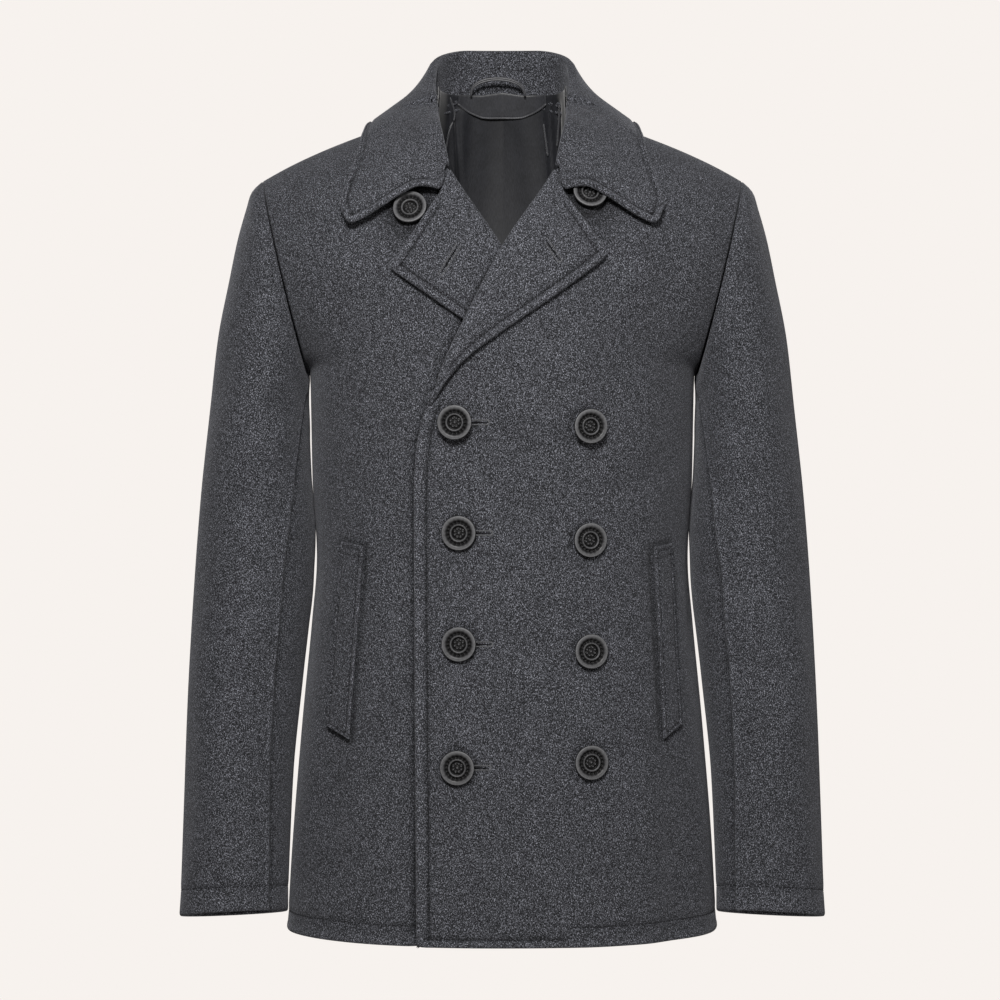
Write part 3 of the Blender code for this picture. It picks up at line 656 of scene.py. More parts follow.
def under_left(x, z):
    """How far the cloth under the left front's edge and roll line is pressed in; the wool paints this
    dent darker, as the shade under that edge.
    """
    return 0.0021 * hump(x - edge_x(LEFT_EDGE, z) - 0.0002, 0.0032) * ramp(-z, 0.142, 0.165)


def lapel_hollow(x, z):
    """How far the left front falls in beside the foot of its lapel's roll."""
    start, end = np.array(LEFT_EDGE[3][::-1]), np.array(LEFT_EDGE[7][::-1])
    line = end - start
    share = np.clip(((x - start[0]) * line[0] + (z - start[1]) * line[1]) / (line ** 2).sum(), 0, 1)
    away = x - (start[0] + line[0] * share) - 0.0085
    below = np.minimum(0, z - start[1]) * 0.6
    return 0.0030 * hump(np.hypot(away, below), 0.0100) * ramp(-z, 0.225, 0.262)


def pressed(x, z):
    """How far the cloth of the fronts is pressed in round the welts and the buttons, which the wool also
    paints darker as shade.
    """
    total = np.zeros(np.shape(x))
    for welt in (LEFT_WELT, RIGHT_WELT):
        total += 0.0013 * hump(outside(tuple(welt), x, z) - 0.0006, 0.0022)
    for name, (button_x, button_z) in BUTTONS.items():
        away = np.hypot(x - button_x, z - button_z) - BUTTON_RADIUS
        total += 0.0012 * hump(away - 0.0003, 0.0014)
        # Under the collar buttons a wide shallow hollow, there mostly for the painted shade beneath the
        # collar leaf.
        if "collar" in name:
            total += 0.0014 * hump(away + 0.0060, 0.0200)
    return total


# ---------------------------------------------------------------- materials


class Nodes:
    """A short way to write a material's node tree."""

    def __init__(self, name):
        self.material = bpy.data.materials.new(name)
        self.material.use_nodes = True
        self.tree = self.material.node_tree
        self.shader = self.tree.nodes["Principled BSDF"]
        self.place = self.tree.nodes.new("ShaderNodeTexCoord").outputs["Object"]

    def node(self, kind, **values):
        made = self.tree.nodes.new(kind)
        for name, value in values.items():
            setattr(made, name, value)
        return made

    def link(self, source, target):
        self.tree.links.new(source, target)

    def stretched(self, scale, turn=(0, 0, 0)):
        mapping = self.node("ShaderNodeMapping")
        mapping.inputs["Scale"].default_value = scale
        mapping.inputs["Rotation"].default_value = turn
        self.link(self.place, mapping.inputs["Vector"])
        return mapping.outputs["Vector"]

    def noise(self, vector, scale, detail=2.0, rough=0.5):
        made = self.node("ShaderNodeTexNoise")
        made.inputs["Scale"].default_value = scale
        made.inputs["Detail"].default_value = detail
        made.inputs["Roughness"].default_value = rough
        self.link(vector, made.inputs["Vector"])
        return made.outputs["Fac"]

    def math(self, operation, first, second):
        made = self.node("ShaderNodeMath", operation=operation)
        for socket, value in zip(made.inputs, (first, second)):
            if isinstance(value, (int, float)):
                socket.default_value = value
            else:
                self.link(value, socket)
        return made.outputs["Value"]

    def ramp(self, value, stops):
        made = self.node("ShaderNodeValToRGB")
        made.color_ramp.interpolation = "LINEAR"
        elements = made.color_ramp.elements
        while len(elements) < len(stops):
            elements.new(0.5)
        for element, (position, colour) in zip(elements, stops):
            element.position = position
            element.color = (*colour, 1)
        self.link(value, made.inputs["Fac"])
        return made.outputs["Color"]

    def times(self, colour, factor):
        """A colour made darker or lighter by a grey factor."""
        made = self.node("ShaderNodeMix", data_type="RGBA", blend_type="MULTIPLY")
        made.inputs["Factor"].default_value = 1.0
        self.link(colour, made.inputs["A"])
        self.link(factor, made.inputs["B"])
        return made.outputs["Result"]

    def bump(self, height, distance, strength=1.0, below=None):
        made = self.node("ShaderNodeBump")
        made.inputs["Distance"].default_value = distance
        made.inputs["Strength"].default_value = strength
        self.link(height, made.inputs["Height"])
        if below is not None:
            self.link(below, made.inputs["Normal"])
        return made.outputs["Normal"]


def shade(colour, factor):
    return tuple(channel * factor for channel in colour)


WOOL = (0.0500, 0.0519, 0.0600)


def wool_material(name, tone=1.0):
    """Charcoal heather melton: pale and dark fibres felted together under a short nap."""
    nodes = Nodes(name)
    shader = nodes.shader
    turns = ((0.3, 0.2, 0.5), (1.2, 0.7, 2.1), (2.0, 1.9, 0.9))
    fibres = [
        nodes.noise(nodes.stretched((1.0, 1.0, 0.6), turn), 1500.0, 1.0, 0.5) for turn in turns
    ]
    pale = nodes.math("MAXIMUM", nodes.math("MAXIMUM", fibres[0], fibres[1]), fibres[2])
    dark = nodes.math("MINIMUM", nodes.math("MINIMUM", fibres[0], fibres[1]), fibres[2])
    speckle = nodes.math("ADD", pale, dark)
    speckle = nodes.math("MULTIPLY", speckle, 0.5)
    base = shade(WOOL, tone)
    colour = nodes.ramp(speckle, (
        (0.40, shade(base, 0.10)),
        (0.47, shade(base, 0.36)),
        (0.52, shade(base, 0.90)),
        (0.57, shade(base, 2.50)),
        (0.64, shade(base, 6.20)),
    ))
    cloud = nodes.ramp(nodes.noise(nodes.place, 38.0, 3.0, 0.55), (
        (0.30, (0.94, 0.94, 0.94)),
        (0.70, (1.05, 1.05, 1.05)),
    ))
    # Painted shade and highlight: the colour is darkened where the cloth is dented in (stitch grooves,
    # seams, the strip under the left front's edge, round the welts and the buttons) and lightened on the
    # ridges of its turned edges.
    dent_shade = nodes.node("ShaderNodeAttribute", attribute_name="dent_shade").outputs["Fac"]
    depth = nodes.math("ADD", nodes.math("MULTIPLY", dent_shade, 250.0), 0.4)
    painted_shade_tone = nodes.ramp(depth, (
        (0.15, (1.26, 1.26, 1.26)),
        (0.40, (1.00, 1.00, 1.00)),
        (0.70, (0.42, 0.42, 0.42)),
        (1.00, (0.20, 0.20, 0.20)),
    ))
    tones = nodes.times(nodes.times(colour, cloud), painted_shade_tone)
    nodes.link(tones, shader.inputs["Base Color"])
    felt = nodes.bump(nodes.noise(nodes.place, 420.0, 3.0, 0.6), 0.0004, 0.40)
    nap = nodes.bump(speckle, 0.0010, 0.60, felt)
    nodes.link(nap, shader.inputs["Normal"])
    shader.inputs["Roughness"].default_value = 0.94
    shader.inputs["Specular IOR Level"].default_value = 0.22
    shader.inputs["Sheen Weight"].default_value = 0.16
    shader.inputs["Sheen Roughness"].default_value = 0.45
    shader.inputs["Sheen Tint"].default_value = (0.80, 0.82, 0.90, 1)
    return nodes.material


def satin_material(name, colour):
    """Satin: a fine twill with a soft sheen."""
    nodes = Nodes(name)
    shader = nodes.shader
    thread = nodes.noise(nodes.stretched((1.0, 1.0, 0.06)), 1500.0, 1.0, 0.5)
    cloud = nodes.noise(nodes.place, 60.0, 3.0, 0.5)
    mixed = nodes.math("ADD", nodes.math("MULTIPLY", thread, 0.6), nodes.math("MULTIPLY", cloud, 0.4))
    tones = nodes.ramp(mixed, ((0.35, shade(colour, 0.72)), (0.5, colour), (0.65, shade(colour, 1.35))))
    nodes.link(tones, shader.inputs["Base Color"])
    nodes.link(nodes.bump(thread, 0.0002, 0.35), shader.inputs["Normal"])
    shader.inputs["Roughness"].default_value = 0.40
    shader.inputs["Sheen Weight"].default_value = 0.25
    shader.inputs["Sheen Roughness"].default_value = 0.35
    return nodes.material


def button_material(name):
    """Dark grey moulded plastic with painted light: paler where it stands up as a painted highlight, and
    black in its sunk parts as painted shade.
    """
    nodes = Nodes(name)
    shader = nodes.shader
    grain = nodes.noise(nodes.place, 900.0, 3.0, 0.6)
    tone = nodes.node("ShaderNodeAttribute", attribute_name="relief_shade").outputs["Fac"]
    colour = nodes.ramp(tone, (
        (0.0, (0.001, 0.001, 0.001)),
        (0.45, (0.030, 0.030, 0.032)),
        (1.0, (0.165, 0.167, 0.175)),
    ))
    cloud = nodes.ramp(grain, ((0.30, (0.72, 0.72, 0.72)), (0.70, (1.20, 1.20, 1.20))))
    nodes.link(nodes.times(colour, cloud), shader.inputs["Base Color"])
    rough = nodes.node("ShaderNodeMapRange")
    rough.inputs["To Min"].default_value = 0.30
    rough.inputs["To Max"].default_value = 0.46
    nodes.link(grain, rough.inputs["Value"])
    nodes.link(rough.outputs["Result"], shader.inputs["Roughness"])
    nodes.link(nodes.bump(grain, 0.00008, 0.4), shader.inputs["Normal"])
    shader.inputs["Specular IOR Level"].default_value = 0.22
    return nodes.material


def thread_material(name, colour):
    """Sewing thread: tight, faintly twisted and a little smoother than the wool."""
    nodes = Nodes(name)
    shader = nodes.shader
    twist = nodes.noise(nodes.place, 1800.0, 2.0, 0.5)
    tones = nodes.ramp(twist, ((0.3, shade(colour, 0.6)), (0.7, shade(colour, 1.5))))
    nodes.link(tones, shader.inputs["Base Color"])
    nodes.link(nodes.bump(twist, 0.0002, 0.5), shader.inputs["Normal"])
    shader.inputs["Roughness"].default_value = 0.8
    shader.inputs["Specular IOR Level"].default_value = 0.12
    return nodes.material


MELTON = wool_material("wool")
# A darker copy of the wool, at 0.42 of its tone: painted shade for the turned-in seam allowances in the
# joints.
SHADED_WOOL = wool_material("wool_painted_shade", 0.42)
FACING = satin_material("facing_satin", (0.030, 0.031, 0.036))
LINING = satin_material("lining_satin", (0.0180, 0.0188, 0.0225))
PIPING = satin_material("piping_satin", (0.062, 0.063, 0.070))
PLASTIC = button_material("button_plastic")
THREAD = thread_material("thread", (0.015, 0.015, 0.017))
PURL = thread_material("purl", (0.120, 0.122, 0.130))
# Near-black thread for the buttonhole slits: painted shade standing for the dark opening of each slit.
SLIT_SHADE = thread_material("slit_shade", (0.003, 0.003, 0.0035))

# ---------------------------------------------------------------- creases

# Soft troughs (negative) and ridges in the body's cloth: the middle of each one as a height and a
# share of the turn, its lean from upright in degrees, and its half length, half width and depth.
Crease = namedtuple("Crease", "z share lean length width depth")
FRONT_CREASES = tuple(Crease(*row) for row in (
    (-0.690, 0.62, 4, 0.110, 0.022, -0.0030),
    (-0.650, 0.78, -3, 0.140, 0.026, 0.0026),
    (-0.620, -0.60, -5, 0.120, 0.020, -0.0026),
    (-0.680, -0.80, 6, 0.130, 0.026, 0.0028),
    (-0.700, 0.30, 8, 0.090, 0.024, 0.0018),
    (-0.690, -0.26, -6, 0.080, 0.020, -0.0014),
    (-0.330, 0.60, 58, 0.070, 0.016, -0.0022),
    (-0.365, 0.52, 66, 0.060, 0.014, 0.0014),
    (-0.340, -0.62, -55, 0.070, 0.016, -0.0020),
    (-0.200, 0.72, 28, 0.075, 0.014, -0.0024),
    (-0.190, 0.58, 22, 0.070, 0.016, 0.0016),
    (-0.200, -0.74, -26, 0.075, 0.014, -0.0022),
    (-0.185, -0.58, -20, 0.060, 0.016, 0.0016),
    (-0.420, 0.06, 80, 0.060, 0.014, -0.0010),
    (-0.520, 0.02, 86, 0.070, 0.018, 0.0010),
    (-0.465, 0.88, 12, 0.080, 0.018, -0.0022),
    (-0.455, -0.90, -10, 0.090, 0.018, -0.0020),
))
BACK_CREASES = tuple(Crease(*row) for row in (
    (-0.640, 0.40, 3, 0.150, 0.026, -0.0032),
    (-0.660, 0.62, -4, 0.130, 0.024, 0.0026),
    (-0.650, -0.36, -5, 0.140, 0.024, -0.0028),
    (-0.620, -0.64, 5, 0.120, 0.026, 0.0024),
    (-0.420, 0.30, 70, 0.090, 0.018, -0.0020),
    (-0.455, -0.26, -74, 0.080, 0.016, -0.0016),
    (-0.200, 0.74, 24, 0.090, 0.016, -0.0026),
    (-0.210, -0.72, -20, 0.100, 0.018, -0.0024),
    (-0.230, 0.40, 40, 0.070, 0.018, 0.0014),
))
HALF_ROUND = 0.26         # arc from the middle of the body to the side seam


def creased(table, x_arc, z):
    """The height of the creases at places on the body, given as an arc and a height."""
    total = np.zeros_like(z)
    for crease in table:
        lean = math.radians(crease.lean)
        over, up = x_arc - crease.share * HALF_ROUND, z - crease.z
        along = up * math.cos(lean) + over * math.sin(lean)
        aside = over * math.cos(lean) - up * math.sin(lean)
        total += crease.depth * hump(aside, crease.width) * hump(along, crease.length * 0.75)
    return total


# Sleeve creases: the height and the angle round the sleeve (outer side 0, front 90) of each one.
SleeveCrease = namedtuple("SleeveCrease", "z angle lean length width depth")
SLEEVE_CREASES = tuple(SleeveCrease(*row) for row in (
    (-0.290, 120, 62, 0.050, 0.013, -0.0042),
    (-0.320, 100, 58, 0.055, 0.014, 0.0030),
    (-0.355, 130, 68, 0.050, 0.012, -0.0036),
    (-0.430, 118, 66, 0.055, 0.014, -0.0034),
    (-0.470, 96, 60, 0.060, 0.015, 0.0026),
    (-0.505, 122, 72, 0.045, 0.012, -0.0030),
    (-0.430, 40, 12, 0.110, 0.018, -0.0026),
    (-0.560, 62, -8, 0.090, 0.018, 0.0024),
    (-0.640, 28, 6, 0.080, 0.018, -0.0020),
    (-0.250, 50, 16, 0.080, 0.020, -0.0024),
    (-0.400, 200, 70, 0.060, 0.014, -0.0036),
    (-0.450, 215, 62, 0.060, 0.016, 0.0028),
    (-0.520, 300, 20, 0.100, 0.020, -0.0026),
    (-0.330, 290, -24, 0.090, 0.018, 0.0026),
))

# ---------------------------------------------------------------- body

SEAM_STITCH = 0.0108      # front edge to its stitch row
HEM_STITCH = 0.0175       # hem to its stitch row
LOW_STITCH = 0.0072       # hem to its stitch row across the overlap
LOW_FROM, LOW_TO = -0.0650, 0.0580
HEM_DEPTH = 0.0380        # turn-up inside the hem
HEM_BACKING = 0.0016      # thickness that the turn-up adds
FACING_WIDTH = 0.0700     # doubled cloth inside the front edge
CORNER_RADIUS = 0.0060    # of lapels and front corners
THREADS = []              # lines of stitches: points and normals


def front_patch(edge, spacing=SPACING, lowest=0.0, last=0.9985, margin=TRIM, foot=EDGE, inner=EDGE):
    """A front panel's grid, from its inner edge (at u 0) out to the side seam and the armhole."""
    side = 1.0 if edge[-1].x > 0 else -1.0
    top = FRONT.top - margin

    def place(v, u):
        row = lowest + (top - lowest) * v
        start = edge_turn(edge, FRONT, row)
        return FRONT.place(start + (side * last - start) * u, row)

    return Patch(place, (inner, EDGE), (foot, EDGE), spacing)


def add_front(name, edge, lifted):
    patch = front_patch(
        edge, inner=stitched(SEAM_STITCH),
        foot=hemmed(HEM_STITCH, stitched(LOW_STITCH)),
    )
    soften_corner(patch, CORNER_RADIUS, rows=(0,), columns=(0,))
    facing = FORWARD
    x, z = patch.points[..., 0], patch.points[..., 2]
    side = 1.0 if edge[-1].x > 0 else -1.0
    lift = overlap_lift(x, z) if lifted else 0.0
    arc = side * np.maximum(0, HALF_ROUND - patch.right)
    arc = np.where(side * x < 0.02, x, arc)
    calm = ramp(patch.left, 0.0, 0.05) * (0.35 + 0.65 * ramp(patch.right, 0.0, 0.03))
    waves = creased(FRONT_CREASES, arc, z) * calm * ramp(patch.high, 0.0, 0.04)
    if lifted:
        curl = 0.0012 * (1 - ramp(patch.left, 0.0, 0.012)) * ramp(-z, 0.27, 0.30)
    else:
        curl = -0.0026 * hump(x - edge_x(LEFT_EDGE, z) - 0.0006, 0.0050) * ramp(-z, 0.15, 0.18)
    patch.shift(lift + waves + curl - (lapel_hollow(x, z) if lifted else 0.0), facing)
    x, z = patch.points[..., 0], patch.points[..., 2]
    below = ramp(-z, 0.268, 0.282)
    low_row = (x > LOW_FROM) & (x < LOW_TO) & lifted
    dent = groove(patch.left - SEAM_STITCH) * below * ramp(patch.low, 0.004, 0.008)
    hem_dents = (groove(patch.low - LOW_STITCH), groove(patch.low - HEM_STITCH, 0.0007))
    dent = dent + np.where(low_row, *hem_dents)
    dent = dent + pressed(x, z) - rolled(patch.left, 0.0012) * below - rolled(patch.low)
    if not lifted:
        # The cloth under the left front's edge is pressed in, and painted darker there as the shade
        # beneath that edge.
        dent = dent + under_left(x, z)
    backing = HEM_BACKING * (1 - ramp(patch.low, HEM_DEPTH, HEM_DEPTH + 0.002))
    facing_back = 0.0008 * (1 - ramp(patch.left, FACING_WIDTH, FACING_WIDTH + 0.002))
    piece = patch.wall(name, MELTON, CLOTH, facing, dent, np.maximum(backing, facing_back))
    dress(piece, (name,))
    column = len(stitched(SEAM_STITCH)) - 4
    low, high = len(stitched(LOW_STITCH)) - 4, len(stitched(LOW_STITCH)) + 2
    keep = (z[:, column] < -0.272) & (patch.low[:, column] > LOW_STITCH)
    THREADS.append(patch.line(column=column, keep=keep))
    if lifted:
        THREADS.append(patch.line(row=low, keep=(x[low] < LOW_TO) & (x[low] > LOW_FROM)))
    keep = (x[high] > LOW_TO) if lifted else (patch.left[high] > 0.012)
    THREADS.append(patch.line(row=high, keep=keep))


def back_limit(turned):
    """The highest row of the back panel: its neckline in the middle, the shoulder seam beyond."""
    rise = np.minimum(np.abs(turned) / NECK_SHARE, 1.0) ** 5
    return NECK_ROW + (BACK.top - NECK_ROW) * rise


def back_place(lowest, last, lift, margin, highest=14.0, fixed=11.0):
    def place(v, u):
        turned = last * (2 * u - 1)
        row = lowest + (BACK.top - lowest) * v
        limit = np.minimum(back_limit(turned), highest) - margin
        stretched_row = fixed + (row - fixed) * (limit - fixed) / (BACK.top - fixed)
        row = np.where(row > fixed, stretched_row, row)
        points = BACK.place(turned, row)
        if lift:
            points = points + BACK.normal(turned, np.minimum(row, NECK_ROW - 0.8)) * lift
        return points

    return place


def add_back():
    foot = hemmed(HEM_STITCH)
    patch = Patch(back_place(0.0, 0.9985, 0.0, TRIM), (EDGE, EDGE), (foot, EDGE), 0.0038)
    facing = BACKWARD
    z = patch.points[..., 2]
    middle = patch.left - patch.left[:, -1:] / 2
    calm = ramp(np.minimum(patch.left, patch.right), 0.0, 0.03) * ramp(patch.high, 0.0, 0.05)
    patch.shift(creased(BACK_CREASES, middle, z) * calm, facing)
    dent = groove(middle, 0.0009, 0.0022) + groove(patch.low - HEM_STITCH)
    backing = HEM_BACKING * (1 - ramp(patch.low, HEM_DEPTH, HEM_DEPTH + 0.002))
    dress(patch.wall("back", MELTON, CLOTH, facing, dent, backing), ("back",))
    THREADS.append(patch.line(row=len(EDGE) + 2))


# ---------------------------------------------------------------- lapels

LAPEL_STITCH = 0.0080
ROLL = 0.0065             # width over which a lapel rolls over at its fold


def lapel_outline(lapel, edge, along, out):
    """The lapel seen from the front: out runs from the roll line to its outer edge."""
    low, high = lapel.break_[1], lapel.gorge[1]
    z = low + (high - low) * along
    x = edge_x(edge, z)
    tip_x = lapel.break_[0] + (lapel.tip[0] - lapel.break_[0]) * along
    tip_z = lapel.break_[1] + (lapel.tip[1] - lapel.break_[1]) * along
    tip_z = tip_z + lapel.hollow * np.sqrt(along) * (1 - along) ** 2
    # The top edge bends at the notch, where the collar's gorge seam ends.
    bend = 0.26
    share = np.clip(out / bend, 0, 1) - np.clip((out - bend) / (1 - bend), 0, 1)
    straight_x = lapel.gorge[0] + (lapel.tip[0] - lapel.gorge[0]) * bend
    straight_z = lapel.gorge[1] + (lapel.tip[1] - lapel.gorge[1]) * bend
    near_top = along ** 4 * share
    return (
        x + (tip_x - x) * out + (lapel.notch[0] - straight_x) * near_top,
        z + (tip_z - z) * out + (lapel.notch[1] - straight_z) * near_top,
    )


def add_lapel(name, lapel, edge, lifted):
    def place(v, u):
        along = 0.03 + 0.967 * v
        x, z = lapel_outline(lapel, edge, along, u)
        width = np.hypot(lapel.tip[0] - lapel.gorge[0], lapel.tip[1] - lapel.gorge[1]) * along
        from_roll = np.clip(u * width / ROLL, 0, 1)
        rolled = np.sqrt(1 - (1 - from_roll) ** 2)
        lift = (ON_CLOTH + 0.0012 * hump(u * width - 0.016, 0.014)) * (0.30 + 0.70 * rolled)
        lift = lift + (overlap_lift(x, z) if lifted else 0.0)
        # The outer edge curves a little off the body, and most of all at the tip.
        lift = lift + 0.0013 * ramp(u, 0.72, 1.0) + 0.0014 * ramp(u, 0.6, 1.0) * ramp(v, 0.5, 1.0)
        return seen(FRONT, x, z, lift)

    inner = (0.0, 0.0003, 0.0009, 0.0018, 0.0030, 0.0045, 0.0065, 0.0090)
    ends = stitched(LAPEL_STITCH)
    patch = Patch(place, (inner, ends), (EDGE, ends), 0.0028, 0.9)
    soften_corner(patch, CORNER_RADIUS)
    facing = FORWARD
    dent = groove(patch.right - LAPEL_STITCH) * ramp(patch.high, LAPEL_STITCH - 0.002, LAPEL_STITCH)
    beyond = ramp(patch.left, 0.030, 0.034) * ramp(patch.right, LAPEL_STITCH - 0.002, LAPEL_STITCH)
    dent = dent + groove(patch.high - LAPEL_STITCH) * beyond
    dent = dent - np.maximum(rolled(patch.right), rolled(patch.high) * beyond)
    # On the lifted lapel a raised band by the roll, painted paler as a highlight; on the other, the dent
    # under the left front's edge, painted darker as shade.
    if lifted:
        dent = dent - 0.0006 * hump(patch.left - 0.0045, 0.0040)
    else:
        dent = dent + under_left(patch.points[..., 0], patch.points[..., 2])
    dress(patch.wall(name, MELTON, DOUBLE, facing, dent, soft=0.62), (name,))
    column = patch.points.shape[1] - 1 - nearest(ends, LAPEL_STITCH)
    row = patch.points.shape[0] - 1 - nearest(ends, LAPEL_STITCH)
    THREADS.append(patch.line(column=column, keep=patch.high[:, column] > LAPEL_STITCH))
    keep = (patch.left[row] > 0.033) & (patch.right[row] > LAPEL_STITCH)
    THREADS.append(patch.line(row=row, keep=keep))


def soften_corner(patch, radius, rows=(-1,), columns=(-1,)):
    """Rounds a patch's corners, given as ends of its rows and columns."""
    for i in rows:
        for j in columns:
            down = patch.high if i == -1 else patch.low
            aside = patch.right if j == -1 else patch.left
            near = np.clip(1 - down / radius, 0, 1) ** 2 * np.clip(1 - aside / radius, 0, 1) ** 2
            corner = patch.points[i, j]
            step = 3 * radius
            count_row = np.argmax(down[::-1, j] > step) if i == -1 else np.argmax(down[:, j] > step)
            count_column = np.argmax(aside[i, ::-1] > step) if j == -1 else np.argmax(aside[i] > step)
            row = patch.points[-1 - count_row if i == -1 else count_row, j]
            column = patch.points[i, -1 - count_column if j == -1 else count_column]
            inward = unit(row - corner) + unit(column - corner)
            patch.points = patch.points + near[..., None] * inward * radius * 0.42
    patch.measure()


# ---------------------------------------------------------------- collar


def neck_point(neck):
    """Where the collar stand is sewn on: on the panel's outside, at its edge."""
    where, value = neck
    if where == "back":
        turned = np.array(value * NECK_SHARE)
        row = back_limit(turned)
        point, out = BACK.place(turned, row), BACK.normal(turned, row)
    else:
        x = edge_x(LEFT_EDGE, value)
        row = FRONT.row_at(x, z=np.array(value))
        turned = FRONT.share(x, row)
        point, out = FRONT.place(turned, row), FRONT.normal(turned, row)
    return point + out * (CLOTH / 2 + STAND_GAP) + np.array([0, 0, GAP])


def collar_point(point, neck, lift):
    """A station's point, brought over the body where its y or z is left open."""
    x, y, z = point
    if z is None:
        return BACK.over(x, y=y, lift=lift)
    if y is None:
        return (BACK if neck[0] == "back" else FRONT).over(x, z=z, lift=lift)
    return np.array(point, float)


STATIONS = np.arange(len(COLLAR))
COLLAR_POINTS = {
    "fold": np.array([collar_point(s.fold, s.neck, s.fold_lift) for s in COLLAR]),
    "neck": np.array([neck_point(s.neck) for s in COLLAR]),
    "mid": np.array([collar_point(s.mid, s.neck, s.lift) for s in COLLAR]),
    "edge": np.array([collar_point(s.edge, s.neck, s.lift) for s in COLLAR]),
}


def collar_curve(name, at):
    """The collar's fold, neck, mid or edge curve at positions along the stations, mirrored below 0."""
    points = COLLAR_POINTS[name]
    found = np.stack([blend(STATIONS, points[:, axis], np.abs(at)) for axis in range(3)], axis=-1)
    found[..., 0] *= np.where(at < 0, -1.0, 1.0)
    return found


def collar_border(t):
    """The front border of the collar leaf at shares from the roll line to the tip."""
    knots = [point.share for point in COLLAR_BORDER]
    x = blend(knots, [point.x for point in COLLAR_BORDER], t)
    z = blend(knots, [point.z for point in COLLAR_BORDER], t)
    lift = COLLAR[-1].fold_lift + (COLLAR[-1].lift - COLLAR[-1].fold_lift) * ramp(t, 0.0, 0.3)
    lift = lift + 0.0018 * ramp(t, 0.4, 1.0) + 0.0034 * hump(t - 0.30, 0.30)
    return seen(FRONT, x, z, lift)


COLLAR_STITCH = 0.0072
STAND_SHARE = 0.30        # of the way across the collar: the stand, the fold and then the leaf
FOLD_SHARE = 0.36


def collar_place(v, u):
    """Across the collar (v): up the stand, over the fold and down the leaf; u runs along it."""
    last = len(COLLAR) - 1
    at = last * (2 * u - 1)
    fold, neck, mid, edge = (collar_curve(name, at) for name in ("fold", "neck", "mid", "edge"))
    upward = unit(fold - neck)
    near = 0.02
    run = collar_curve("fold", at + near) - collar_curve("fold", at - near)
    outward = unit(np.cross(run, upward))
    outward = outward * np.sign(np.sum(outward * (mid - fold), axis=-1, keepdims=True))
    clear = (CLOTH / 2 + 3 * GAP + DOUBLE / 2) * (1 - 0.55 * ramp(np.abs(at), 6.6, 8.0))[..., None]
    start = fold + outward * clear
    # Up the stand, which ends at the gorge in front.
    up = np.clip(v / STAND_SHARE, 0, 1)[..., None]
    stand = neck + (fold - neck) * up
    # Over the fold in half a circle.
    turned = np.clip((v - STAND_SHARE) / (FOLD_SHARE - STAND_SHARE), 0, 1)[..., None] * math.pi
    over = fold + outward * clear / 2 * (1 - np.cos(turned)) + upward * clear / 2 * np.sin(turned) * 0.9
    # Down the leaf, and at the front along its border.
    t = np.clip((v - FOLD_SHARE) / (1 - FOLD_SHARE), 0, 1)
    control = 2 * mid - (start + edge) / 2
    s = t[..., None]
    leaf = start * (1 - s) ** 2 + control * 2 * s * (1 - s) + edge * s ** 2
    final = collar_curve("fold", np.full_like(at, last))
    end_edge, end_mid = (collar_curve(name, np.full_like(at, last)) for name in ("edge", "mid"))
    final_control = 2 * end_mid - (final + end_edge) / 2
    bezier = final * (1 - s) ** 2 + final_control * 2 * s * (1 - s) + end_edge * s ** 2
    shift = collar_border(t) - bezier
    shift[..., 0] *= np.where(at < 0, -1.0, 1.0)
    shift = shift * (ramp(np.abs(at), 6.9, 8.0) ** 1.5)[..., None] * ramp(t, 0.0, 0.1)[..., None]
    leaf = leaf + shift
    # The leaf arches a little over the shoulder seam.
    leaf[..., 2] += 0.0010 * hump(np.abs(at) - 4.0, 2.4) * hump(t - 0.45, 0.42)
    folded = np.where((v <= FOLD_SHARE)[..., None], over, leaf)
    return np.where((v <= STAND_SHARE)[..., None], stand, folded)


def add_collar():
    ends = stitched(COLLAR_STITCH)
    patch = Patch(collar_place, (ends, ends), (EDGE, ends), 0.0030, 0.5)
    soften_corner(patch, 0.0065, (-1,), (0, -1))
    facing = (0, 1, 0.2)
    leaf = ramp(patch.v, FOLD_SHARE + 0.10, FOLD_SHARE + 0.16)
    ends_only = np.minimum(patch.left, patch.right)
    dent = groove(patch.high - COLLAR_STITCH) * ramp(ends_only, COLLAR_STITCH - 0.002, COLLAR_STITCH)
    above = ramp(patch.high, COLLAR_STITCH - 0.002, COLLAR_STITCH)
    dent = dent + groove(ends_only - COLLAR_STITCH) * leaf * above
    dent = dent - np.maximum(rolled(patch.high), rolled(ends_only) * leaf)
    stand_line = (patch.v / STAND_SHARE - 0.66) * 0.043
    dent = dent + groove(stand_line, 0.0006) * ramp(ends_only, 0.02, 0.04)
    thick = CLOTH + (DOUBLE - CLOTH) * ramp(patch.v, STAND_SHARE, FOLD_SHARE)
    piece = patch.wall("collar", MELTON, thick, facing, dent, soft=0.62)
    dress(piece, ("collar_stand", "collar_fall"))
    line = nearest(ends, COLLAR_STITCH)
    row = patch.points.shape[0] - 1 - line
    THREADS.append(patch.line(row=row, keep=ends_only[row] > COLLAR_STITCH))
    for j in (line, patch.points.shape[1] - 1 - line):
        keep = (patch.v[:, j] > FOLD_SHARE + 0.14) & (patch.high[:, j] > COLLAR_STITCH)
        THREADS.append(patch.line(column=j, keep=keep))
    return patch


# ---------------------------------------------------------------- sleeves


def sleeve_points(along, angle, side):
    """Points of a sleeve at ring positions along it and angles round it (outer side 0, front 90)."""
    knots = np.arange(len(SLEEVE))
    column = {
        name: blend(knots, [getattr(ring, name) for ring in SLEEVE], along)
        for name in Ring._fields
    }
    mid_x, mid_z = (column["out_x"] + column["in_x"]) / 2, (column["out_z"] + column["in_z"]) / 2
    turned = np.radians(angle)
    rise = CUFF_RISE * ramp(along, 8.0, 11.0)
    x = mid_x + (column["out_x"] - mid_x) * np.cos(turned)
    y = column["mid_y"] - column["depth"] * np.sin(turned)
    z = mid_z + (column["out_z"] - mid_z) * np.cos(turned) + rise * np.sin(turned)
    return np.stack([x * side, y, z], axis=-1)


